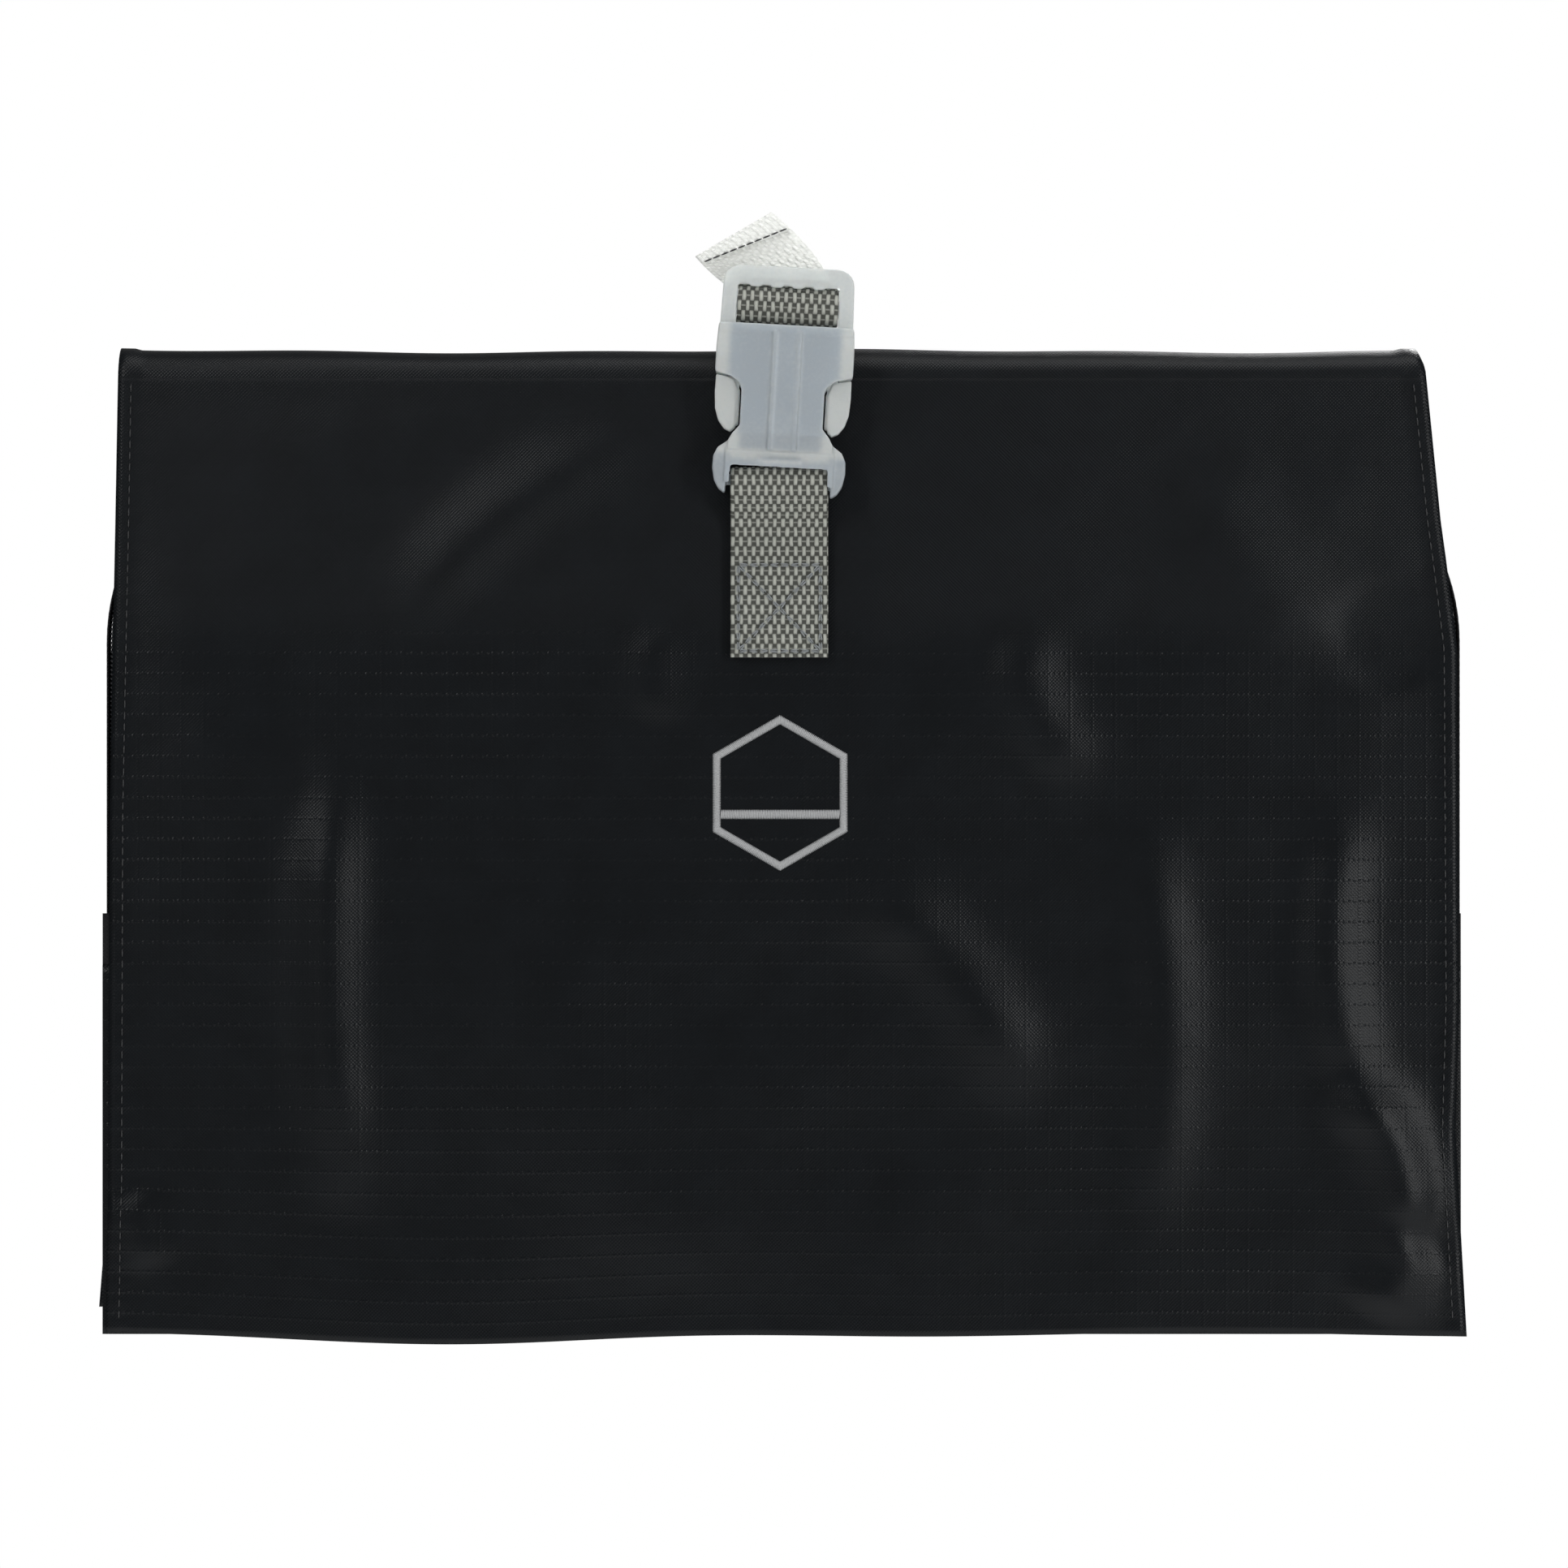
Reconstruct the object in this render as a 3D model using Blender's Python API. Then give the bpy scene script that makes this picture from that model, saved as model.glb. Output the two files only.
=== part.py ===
"""Film changing bag, folded flat in half and hung by its strap loop.

+X is to the right of the emblem face, +Y points away from it and +Z is up.
The origin is the top of the strap's opening, on the line that a hook bears on.
"""

import math

import bmesh
import bpy
from mathutils import Matrix, Vector

MM = 0.001
GAP = 0.3 * MM

# Heights are given as a distance below the fold's top, called down.
FOLD_TOP = -7.4 * MM
FOLD_RADIUS = 7.55 * MM
FOLD_Y = 0.05 * MM
FOLD_AXIS_DOWN = FOLD_RADIUS
HALF_TURN_STEPS = 10

# Front half: its outline, its three fabric layers and its bottom edge.
LEFT_TOP, LEFT_MIDDLE, LEFT_BOTTOM = -170.4 * MM, -172.3 * MM, -173.4 * MM
RIGHT_TOP, RIGHT_SHOULDER, RIGHT_BOTTOM = 163.8 * MM, 173.6 * MM, 175.4 * MM
SHOULDER_DOWN, MIDDLE_DOWN = 78 * MM, 120 * MM
FRONT_BOTTOM = 253 * MM
FRONT_OUTER_Y = (-7.5 * MM, -6.5 * MM)
FRONT_LINER_Y = (-6.2 * MM, -5.4 * MM)
FRONT_INNER_Y = (-5.1 * MM, -4.1 * MM)
INNER_LAYERS_TOP = 14 * MM
HEM_WIDTH, HEM_THICKNESS = 4.5 * MM, 0.5 * MM

# Back half: its outline and its layers.
BACK_LEFT, BACK_RIGHT = -174.2 * MM, 175 * MM
BACK_BOTTOM = 248 * MM
BACK_OUTER_Y = (7 * MM, 8 * MM)
BACK_UPPER_Y = 7.6 * MM
BACK_STEP_DOWN = 96 * MM
LINER_BACK_Y = (5.9 * MM, 6.5 * MM)
LINER_FRONT_Y = (5.0 * MM, 5.6 * MM)
MOUTH_PANEL_Y = (1.5 * MM, 2.3 * MM)
SEAM_THICKNESS = 0.7 * MM

# The mouth's zip runs up one side, round two corners and along the top.
MOUTH_TOP = 21 * MM
MOUTH_RADIUS = 54 * MM
MOUTH_END = 150 * MM
CORNER_STEPS = 9
GUSSET_Y = (-0.2 * MM, 6.7 * MM)
ZIP_TAPE_Y = (0.4 * MM, 1.2 * MM)
ZIP_COIL_Y = (-0.7 * MM, 1.2 * MM)
GUSSET_INSET = (0, 0.6 * MM)
ZIP_COIL_INSET = (0.9 * MM, 3.3 * MM)
ZIP_TAPE_INSET = (3.6 * MM, 15 * MM)
LINER_INSET = 20 * MM
LINER_COIL_INSET = (22 * MM, 24.4 * MM)
LINER_TAPE_INSET = (24.7 * MM, 34 * MM)
LINER_ZIP_Y = (4.0 * MM, 4.7 * MM)

# Zip sliders.
SLIDER_LENGTH, SLIDER_HEIGHT = 10 * MM, 8 * MM
SLIDER_X = 106 * MM
SLIDER_Y = (-2.0 * MM, -1.0 * MM)
POST_RADIUS, POST_HEAD_RADIUS = 0.9 * MM, 2.0 * MM
PULL_Y = (-3.2 * MM, -2.3 * MM)
PULL_HEAD_Y = (-3.8 * MM, -3.4 * MM)
PULL_LENGTH, PULL_WIDTH = 26 * MM, 6.4 * MM
PULL_EYE_RADIUS = 1.5 * MM

# Sleeves, folded up inside from the front half's bottom edge.
SLEEVE_OUTER, SLEEVE_INNER = 174.9 * MM, 72 * MM
SLEEVE_HINGE_DOWN = 253.3 * MM
SLEEVE_TOP = 145 * MM
CUFF_HEIGHT = 13 * MM
SLEEVE_Y = (-3.8 * MM, -1.6 * MM)
CUFF_Y = (-3.8 * MM, -1.2 * MM)
SLEEVE_WALL, CUFF_WALL = 0.7 * MM, 0.9 * MM
CUFF_NARROWER = 3 * MM

# Webbing and buckle. The buckle leans a little to the right at its top.
WEB_WIDTH, WEB_THICKNESS = 25 * MM, 1.3 * MM
BUCKLE_LEAN = math.radians(3.2)
BUCKLE_PIVOT_DOWN = 18 * MM
STRAP_X = -0.6 * MM
STRAP_END_DOWN = 79 * MM
STITCH_TOP_DOWN, STITCH_HEIGHT, STITCH_WIDTH = 55.6 * MM, 22 * MM, 21 * MM
STITCH_LINE, STITCH_DEPTH = 0.9 * MM, 0.4 * MM
SOCKET_Y = (-19 * MM, -10 * MM)
SOCKET_WALL = 1.6 * MM
SOCKET_BOTTOM = 38 * MM
LIP_TOP, LIP_BOTTOM = 27 * MM, 31 * MM
LIP_Y = (-18.2 * MM, -17.5 * MM)
LOBE_FRONT_Y = -17.6 * MM
BAR_DOWN = 34.55 * MM
BAR_Y = -13.2 * MM
BAR_HALF_HEIGHT, BAR_HALF_DEPTH = 1.4 * MM, 1.2 * MM
BAR_LOOP_RADIUS = 3.3 * MM
SLOT_TOP = 29.3 * MM
SLOT_HALF_WIDTH = 13.4 * MM
FRAME_Y = (-16.4 * MM, -12.4 * MM)
FRAME_SLOT_HALF_WIDTH = 13.0 * MM
PRONG_Y = (-16.4 * MM, -12.4 * MM)
EAR_Y = (-17.1 * MM, -11.9 * MM)
PRONG_ROOT_X = 12.2 * MM
PRONG_ROOT_DOWN = -2.6 * MM

EMBLEM_X, EMBLEM_DOWN = -0.4 * MM, 114 * MM
EMBLEM_RADIUS, EMBLEM_LINE, EMBLEM_DEPTH = 20 * MM, 2.4 * MM, 0.5 * MM
EMBLEM_BAR_DROP = 5.5 * MM

COLOURS = {
    "nylon": ((0.012, 0.013, 0.016), 0.45),
    "liner": ((0.02, 0.02, 0.022), 0.7),
    "webbing": ((0.42, 0.43, 0.40), 0.8),
    "thread": ((0.45, 0.48, 0.50), 0.6),
    "clear_plastic": ((0.62, 0.66, 0.68), 0.35),
    "zip": ((0.02, 0.02, 0.022), 0.5),
    "zip_metal": ((0.10, 0.10, 0.11), 0.35),
    "knit": ((0.018, 0.018, 0.02), 0.9),
}


def height(down):
    """World height of a point that far below the fold's top."""
    return FOLD_TOP - down


def material(slot):
    """One Principled material for each finish."""
    if slot in bpy.data.materials:
        return bpy.data.materials[slot]
    colour, roughness = COLOURS[slot]
    made = bpy.data.materials.new(slot)
    made.use_nodes = True
    shader = made.node_tree.nodes["Principled BSDF"]
    shader.inputs["Base Color"].default_value = (*colour, 1)
    shader.inputs["Roughness"].default_value = roughness
    shader.inputs["Metallic"].default_value = 1.0 if slot == "zip_metal" else 0.0
    made.diffuse_color = (*colour, 1)
    return made


def add_object(name, mesh_builder, slot, origin=Vector()):
    """Finish a bmesh as an object whose origin is at the given point."""
    bmesh.ops.recalc_face_normals(mesh_builder, faces=mesh_builder.faces)
    bmesh.ops.translate(mesh_builder, vec=-origin, verts=mesh_builder.verts)
    mesh = bpy.data.meshes.new(name)
    mesh_builder.to_mesh(mesh)
    mesh_builder.free()
    made = bpy.data.objects.new(name, mesh)
    made.location = origin
    bpy.context.collection.objects.link(made)
    mesh.materials.append(material(slot))
    return made


def extruded(points, offset):
    """A bmesh of a closed outline of 3-D points, extruded by an offset."""
    builder = bmesh.new()
    face = builder.faces.new([builder.verts.new(point) for point in points])
    grown = bmesh.ops.extrude_face_region(builder, geom=[face])
    moved = [item for item in grown["geom"] if isinstance(item, bmesh.types.BMVert)]
    bmesh.ops.translate(builder, vec=offset, verts=moved)
    return builder


def plate(name, outline, depth, slot, origin=Vector()):
    """A flat piece: an outline of (x, down) points between two Y values."""
    points = [Vector((x, depth[0], height(down))) for x, down in outline]
    builder = extruded(points, Vector((0, depth[1] - depth[0], 0)))
    return add_object(name, builder, slot, origin)


def cutter(name, outline, depth):
    """A flat cutter, hidden from the build."""
    made = plate(name, outline, depth, "nylon")
    made.hide_render = True
    made.display_type = "WIRE"
    return made


def apply_boolean(target, tool, operation="DIFFERENCE"):
    """Cut or join with a second object."""
    step = target.modifiers.new(tool.name, "BOOLEAN")
    step.operation = operation
    step.solver = "EXACT"
    step.object = tool


def rectangle(left, top, right, bottom):
    return [(left, top), (right, top), (right, bottom), (left, bottom)]


def rounded_rectangle(left, top, right, bottom, radius, steps=4):
    """A rectangle of (x, down) points with round corners."""
    corners = (
        (right - radius, top + radius, -90),
        (right - radius, bottom - radius, 0),
        (left + radius, bottom - radius, 90),
        (left + radius, top + radius, 180),
    )
    points = []
    for x, down, start in corners:
        for step in range(steps + 1):
            angle = math.radians(start + 90 * step / steps)
            points.append((x + radius * math.cos(angle), down + radius * math.sin(angle)))
    return points


def disc(x, down, radius, steps=16):
    turn = 2 * math.pi / steps
    return [
        (x + radius * math.cos(turn * i), down + radius * math.sin(turn * i))
        for i in range(steps)
    ]


def ribbon(name, path, width, thickness, slot, x=0):
    """A strap: a path of (y, down) points, thickened and as wide as width."""
    sides = ([], [])
    for i, (y, down) in enumerate(path):
        before, after = path[max(i - 1, 0)], path[min(i + 1, len(path) - 1)]
        along = Vector((after[0] - before[0], after[1] - before[1])).normalized()
        across = Vector((-along.y, along.x)) * thickness / 2
        sides[0].append((y + across.x, down + across.y))
        sides[1].append((y - across.x, down - across.y))
    outline = sides[0] + sides[1][::-1]
    points = [Vector((x - width / 2, y, height(down))) for y, down in outline]
    return add_object(name, extruded(points, Vector((width, 0, 0))), slot)


def arc(centre, radius, start, end, steps):
    """Points on an arc, as offsets of the two coordinates of its centre."""
    points = []
    for step in range(steps + 1):
        angle = math.radians(start + (end - start) * step / steps)
        points.append(
            (centre[0] + radius * math.cos(angle), centre[1] + radius * math.sin(angle))
        )
    return points


def front_outline(inset, top, bottom):
    """The front half's outline, drawn in by inset at both sides."""
    return [
        (LEFT_TOP + inset, top),
        (RIGHT_TOP - inset, top),
        (RIGHT_SHOULDER - inset, SHOULDER_DOWN),
        (RIGHT_BOTTOM - inset, bottom),
        (LEFT_BOTTOM + inset, bottom),
        (LEFT_MIDDLE + inset, MIDDLE_DOWN),
    ]


def mouth_path(inset, end=MOUTH_END):
    """The mouth's edge at an inset, from its left end over the top to its right."""
    radius = MOUTH_RADIUS - inset
    left, right = BACK_LEFT + MOUTH_RADIUS, BACK_RIGHT - MOUTH_RADIUS
    level = MOUTH_TOP + MOUTH_RADIUS
    path = [(BACK_LEFT + inset, end)]
    path += arc((left, level), radius, 180, 270, CORNER_STEPS)
    path += arc((right, level), radius, 270, 360, CORNER_STEPS)
    path.append((BACK_RIGHT - inset, end))
    return path


def mouth_band(name, insets, depth, slot, end=MOUTH_END):
    """A band that follows the mouth's edge between two insets."""
    outline = mouth_path(insets[0], end) + mouth_path(insets[1], end)[::-1]
    return plate(name, outline, depth, slot)


def tube(name, box, depth, wall, slot, origin):
    """A flat sleeve of cloth, open at both ends. box is left, top, right, bottom."""
    left, top, right, bottom = box
    outer = rounded_profile(left, right, depth, 0.9 * MM)
    inner = rounded_profile(
        left + 2 * wall, right - 2 * wall, (depth[0] + wall, depth[1] - wall), 0.3 * MM
    )
    builder = bmesh.new()
    rings = []
    for down in (top, bottom):
        for profile in (outer, inner):
            rings.append([builder.verts.new((x, y, height(down))) for x, y in profile])
    count = len(outer)
    for first, second in ((0, 2), (1, 3), (0, 1), (2, 3)):
        for i in range(count):
            j = (i + 1) % count
            a, b = rings[first], rings[second]
            builder.faces.new((a[i], a[j], b[j], b[i]))
    return add_object(name, builder, slot, origin)


def rounded_profile(left, right, depth, radius):
    """A flat cross-section in X and Y with chamfered corners."""
    low, high = depth
    return [
        (left + radius, low),
        (right - radius, low),
        (right, low + radius),
        (right, high - radius),
        (right - radius, high),
        (left + radius, high),
        (left, high - radius),
        (left, low + radius),
    ]


def make_fold():
    """The outer cloth where it turns over the fold."""
    middle = FOLD_RADIUS - 0.5 * MM
    turn = arc((FOLD_Y, FOLD_AXIS_DOWN), middle, 180, 360, HALF_TURN_STEPS)
    sides = ([], [])
    for y, down in turn:
        out = Vector((y - FOLD_Y, down - FOLD_AXIS_DOWN)).normalized() * 0.5 * MM
        sides[0].append((y + out.x, down + out.y))
        sides[1].append((y - out.x, down - out.y))
    outline = sides[0] + sides[1][::-1]
    points = [Vector((LEFT_TOP, y, height(down))) for y, down in outline]
    width = Vector((RIGHT_TOP - LEFT_TOP, 0, 0))
    add_object("outer_fold", extruded(points, width), "nylon")


def make_front_half():
    """Outer cloth, light-tight liner and inner cloth of the front half."""
    top = FOLD_AXIS_DOWN + GAP
    plate("front_outer_panel", front_outline(0, top, FRONT_BOTTOM), FRONT_OUTER_Y, "nylon")
    plate(
        "front_liner",
        front_outline(3 * MM, INNER_LAYERS_TOP, FRONT_BOTTOM - 3 * MM),
        FRONT_LINER_Y,
        "liner",
    )
    plate(
        "front_inner_panel",
        front_outline(1 * MM, INNER_LAYERS_TOP, FRONT_BOTTOM),
        FRONT_INNER_Y,
        "nylon",
    )
    depth = (FRONT_OUTER_Y[0] - GAP - HEM_THICKNESS, FRONT_OUTER_Y[0] - GAP)
    outline = front_outline(0, top, FRONT_BOTTOM)
    left = [outline[0], outline[5], outline[4]]
    right = [outline[1], outline[2], outline[3]]
    for name, edge, side in (("left", left, 1), ("right", right, -1)):
        inner = [(x + side * HEM_WIDTH, down) for x, down in edge]
        plate(f"front_hem_{name}", edge + inner[::-1], depth, "nylon")


def make_back_half():
    """Outer cloth, the two liner walls, the mouth's panel and the closing seams."""
    points = [
        (BACK_OUTER_Y[0], FOLD_AXIS_DOWN + GAP),
        (BACK_UPPER_Y, FOLD_AXIS_DOWN + GAP),
        (BACK_UPPER_Y, BACK_STEP_DOWN),
        (BACK_OUTER_Y[1], BACK_STEP_DOWN),
        (BACK_OUTER_Y[1], BACK_BOTTOM),
        (BACK_OUTER_Y[0], BACK_BOTTOM),
    ]
    section = [Vector((BACK_LEFT, y, height(down))) for y, down in points]
    builder = extruded(section, Vector((BACK_RIGHT - BACK_LEFT, 0, 0)))
    panel = add_object("back_outer_panel", builder, "nylon")
    shoulders = {
        "left": (BACK_LEFT, LEFT_TOP, -1),
        "right": (BACK_RIGHT, RIGHT_TOP, 1),
    }
    for name, (edge, top_edge, side) in shoulders.items():
        beyond = edge + side * 5 * MM
        outline = [(top_edge, 0), (beyond, 0), (beyond, SHOULDER_DOWN), (edge, SHOULDER_DOWN)]
        depth = (BACK_OUTER_Y[0] - MM, BACK_OUTER_Y[1] + MM)
        apply_boolean(panel, cutter(f"shoulder_cut_{name}", outline, depth))

    bottom = BACK_BOTTOM - SEAM_THICKNESS - GAP
    inset = LINER_INSET
    for name, depth in (("liner_back_wall", LINER_BACK_Y), ("liner_front_wall", LINER_FRONT_Y)):
        plate(name, mouth_path(inset, bottom), depth, "liner")
    plate("mouth_panel", mouth_path(1.2 * MM, bottom), MOUTH_PANEL_Y, "nylon")

    seam_y = (MOUTH_PANEL_Y[0], GUSSET_Y[1])
    top = MOUTH_END + GAP
    for name, edge, side in (("left", BACK_LEFT, 1), ("right", BACK_RIGHT, -1)):
        outline = rectangle(edge, top, edge + side * SEAM_THICKNESS, bottom)
        plate(f"side_seam_{name}", outline, seam_y, "nylon")
    outline = rectangle(BACK_LEFT, bottom + GAP, BACK_RIGHT, BACK_BOTTOM)
    plate("bottom_seam", outline, seam_y, "nylon")


def make_zips():
    """The mouth's zip on the mouth panel, and the second zip on the liner behind it."""
    mouth_band("mouth_gusset", GUSSET_INSET, GUSSET_Y, "nylon")
    mouth_band("mouth_zip_coil", ZIP_COIL_INSET, ZIP_COIL_Y, "zip", MOUTH_END - 3 * MM)
    mouth_band("mouth_zip_tape", ZIP_TAPE_INSET, ZIP_TAPE_Y, "zip")
    for name, edge, side in (("left", BACK_LEFT, 1), ("right", BACK_RIGHT, -1)):
        outer, inner = (edge + side * inset for inset in ZIP_COIL_INSET)
        outline = rectangle(outer, MOUTH_END - 3 * MM + GAP, inner, MOUTH_END)
        plate(f"mouth_zip_stop_{name}", outline, ZIP_COIL_Y, "zip_metal")
    mouth_band("liner_zip_coil", LINER_COIL_INSET, LINER_ZIP_Y, "zip")
    mouth_band("liner_zip_tape", LINER_TAPE_INSET, LINER_ZIP_Y, "zip")


def make_sliders():
    """The mouth zip's slider with its swinging pull, and the liner zip's slider."""
    centre = MOUTH_TOP + sum(ZIP_COIL_INSET) / 2
    half_length, half_height = SLIDER_LENGTH / 2, SLIDER_HEIGHT / 2
    box = (
        SLIDER_X - half_length,
        centre - half_height,
        SLIDER_X + half_length,
        centre + half_height,
    )
    slider = plate("mouth_zip_slider", rounded_rectangle(*box, 2 * MM), SLIDER_Y, "zip_metal")
    flange_depth = (SLIDER_Y[1] - 0.2 * MM, SLIDER_Y[1] + 0.6 * MM)
    for name, low, high in (
        ("upper", centre - half_height, MOUTH_TOP - GAP),
        ("lower", MOUTH_TOP + ZIP_COIL_INSET[1] + GAP, centre + half_height),
    ):
        outline = rectangle(SLIDER_X - 3 * MM, low, SLIDER_X + 3 * MM, high)
        apply_boolean(slider, cutter(f"slider_flange_{name}", outline, flange_depth), "UNION")
    post = (PULL_HEAD_Y[0] + 0.1 * MM, SLIDER_Y[0] + 0.3 * MM)
    apply_boolean(slider, cutter("slider_post", disc(SLIDER_X, centre, POST_RADIUS), post), "UNION")
    head = disc(SLIDER_X, centre, POST_HEAD_RADIUS)
    apply_boolean(slider, cutter("slider_post_head", head, PULL_HEAD_Y), "UNION")

    half_width = PULL_WIDTH / 2
    pivot = Vector((SLIDER_X, sum(PULL_Y) / 2, height(centre)))
    outline = rounded_rectangle(
        SLIDER_X - half_width,
        centre - half_width,
        SLIDER_X + half_width,
        centre + PULL_LENGTH,
        half_width * 0.99,
    )
    pull = plate("mouth_zip_pull", outline, PULL_Y, "zip_metal", pivot)
    eye = disc(SLIDER_X, centre, PULL_EYE_RADIUS)
    apply_boolean(pull, cutter("pull_eye", eye, (PULL_Y[0] - MM, PULL_Y[1] + MM)))

    centre = MOUTH_TOP + sum(LINER_COIL_INSET) / 2
    depth = (MOUTH_PANEL_Y[1] + GAP, LINER_ZIP_Y[0] - GAP)
    outline = rounded_rectangle(
        SLIDER_X - 4 * MM, centre - 4 * MM, SLIDER_X + 4 * MM, centre + 14 * MM, 2 * MM
    )
    plate("liner_zip_slider", outline, depth, "zip_metal")


def make_sleeves():
    """Two flat sleeves with elastic cuffs, on hinges at the front half's bottom edge."""
    for name, side in (("left", -1), ("right", 1)):
        edges = sorted((side * SLEEVE_OUTER, side * SLEEVE_INNER))
        middle = sum(edges) / 2
        origin = Vector((middle, SLEEVE_Y[0] - GAP, height(SLEEVE_HINGE_DOWN)))
        cuff_bottom = SLEEVE_TOP + CUFF_HEIGHT
        box = (edges[0], cuff_bottom + GAP, edges[1], SLEEVE_HINGE_DOWN)
        tube(f"sleeve_{name}", box, SLEEVE_Y, SLEEVE_WALL, "nylon", origin)
        narrow = 0 if side < 0 else CUFF_NARROWER
        far = CUFF_NARROWER - narrow
        box = (edges[0] + narrow, SLEEVE_TOP, edges[1] - far, cuff_bottom)
        tube(f"cuff_{name}", box, CUFF_Y, CUFF_WALL, "knit", origin)


def make_box_stitch(name, centre_x, top, face_y, outward):
    """A stitched rectangle with a cross in it, as one raised pattern."""
    half = STITCH_WIDTH / 2
    bottom = top + STITCH_HEIGHT
    depth = sorted((face_y, face_y + outward * STITCH_DEPTH))
    box = rectangle(centre_x - half, top, centre_x + half, bottom)
    stitch = plate(name, box, depth, "thread")
    middle = Vector((centre_x, (top + bottom) / 2))
    corners = [Vector(point) for point in box]
    beyond = (depth[0] - MM, depth[1] + MM)
    for i, corner in enumerate(corners):
        following = corners[(i + 1) % 4]
        triangle = inner_triangle(middle, corner, following)
        apply_boolean(stitch, cutter(f"{name}_cut_{i}", triangle, beyond))
    return stitch


def inner_triangle(middle, first, second):
    """The hole between a cross's centre and one side, less the stitched lines."""
    edge = (second - first).normalized()
    inward = (middle - (first + second) / 2).normalized() * STITCH_LINE
    spokes = []
    for corner in (first, second):
        spoke = (middle - corner).normalized()
        slope = abs(spoke.dot(inward.normalized()))
        shift = STITCH_LINE / 2 / slope + STITCH_LINE * abs(spoke.dot(edge)) / slope
        direction = 1 if corner is first else -1
        spokes.append(corner + inward + edge * shift * direction)
    across = abs((middle - first).normalized().dot(edge))
    peak = middle - inward.normalized() * STITCH_LINE / 2 / across
    return [tuple(spokes[0]), tuple(spokes[1]), tuple(peak)]


def make_straps():
    """The webbing: front loop, loop over the fold, and their box stitches."""
    face = FRONT_OUTER_Y[0]
    half = WEB_THICKNESS / 2
    inner_y = face - GAP - half
    outer_y = inner_y - WEB_THICKNESS - GAP
    path = [(inner_y, STRAP_END_DOWN), (inner_y, 48 * MM)]
    path += arc((BAR_Y, BAR_DOWN), BAR_LOOP_RADIUS, 20, -200, 10)
    path += [(outer_y, 48 * MM), (outer_y, STRAP_END_DOWN)]
    ribbon("front_strap", path, WEB_WIDTH, WEB_THICKNESS, "webbing", STRAP_X)
    face_y = outer_y - half - 0.1 * MM
    make_box_stitch("front_box_stitch", STRAP_X, STITCH_TOP_DOWN, face_y, -1)

    back_y = BACK_UPPER_Y + GAP + half
    top_down = FOLD_TOP - half
    path = [
        (back_y, STITCH_TOP_DOWN + STITCH_HEIGHT + 2 * MM),
        (back_y, 9 * MM),
        (back_y - 0.3 * MM, 1 * MM),
        (back_y - 1.6 * MM, -4 * MM),
        (back_y - 4.2 * MM, top_down + 0.6 * MM),
        (back_y - 7 * MM, top_down),
        (0, top_down),
        (-4 * MM, top_down),
        (-8.6 * MM, top_down),
    ]
    ribbon("strap_loop", path, WEB_WIDTH, WEB_THICKNESS, "webbing")
    make_box_stitch("back_box_stitch", 0, STITCH_TOP_DOWN, back_y + half + 0.1 * MM, 1)


def hexagon(radius):
    """A hexagon of (x, down) points that stands on a corner."""
    points = []
    for i in range(6):
        angle = math.radians(30 + 60 * i)
        x = EMBLEM_X + radius * math.cos(angle)
        points.append((x, EMBLEM_DOWN + radius * math.sin(angle)))
    return points


def make_emblem():
    """A raised hexagon with a bar across it, embroidered on the front."""
    depth = (FRONT_OUTER_Y[0] - GAP - EMBLEM_DEPTH, FRONT_OUTER_Y[0] - GAP)
    beyond = (depth[0] - MM, depth[1] + MM)
    emblem = plate("front_emblem", hexagon(EMBLEM_RADIUS), depth, "thread")
    inner = hexagon(EMBLEM_RADIUS - EMBLEM_LINE)
    apply_boolean(emblem, cutter("emblem_hole", inner, beyond))
    reach = (EMBLEM_RADIUS - EMBLEM_LINE / 2) * math.cos(math.radians(30))
    middle = EMBLEM_DOWN + EMBLEM_BAR_DROP
    half = EMBLEM_LINE / 2
    bar = rectangle(EMBLEM_X - reach, middle - half, EMBLEM_X + reach, middle + half)
    apply_boolean(emblem, cutter("emblem_bar", bar, depth), "UNION")


def buckle_outline():
    """Half of the socket's outline, from its mouth to its strap bar."""
    return [
        (17.3, -4.6),
        (17.6, 1.0),
        (17.6, 7.0),
        (15.0, 12.0),
        (12.8, 20.0),
        (12.6, 23.4),
        (13.4, 24.8),
        (15.9, 26.6),
        (16.9, 28.8),
        (17.0, 32.0),
        (16.4, 35.0),
        (15.2, 37.0),
        (13.8, 38.0),
    ]


def mirrored(half):
    """A closed outline from its right half, in millimetres."""
    right = [(x * MM, down * MM) for x, down in half]
    return right + [(-x, down) for x, down in right[::-1]]


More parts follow.
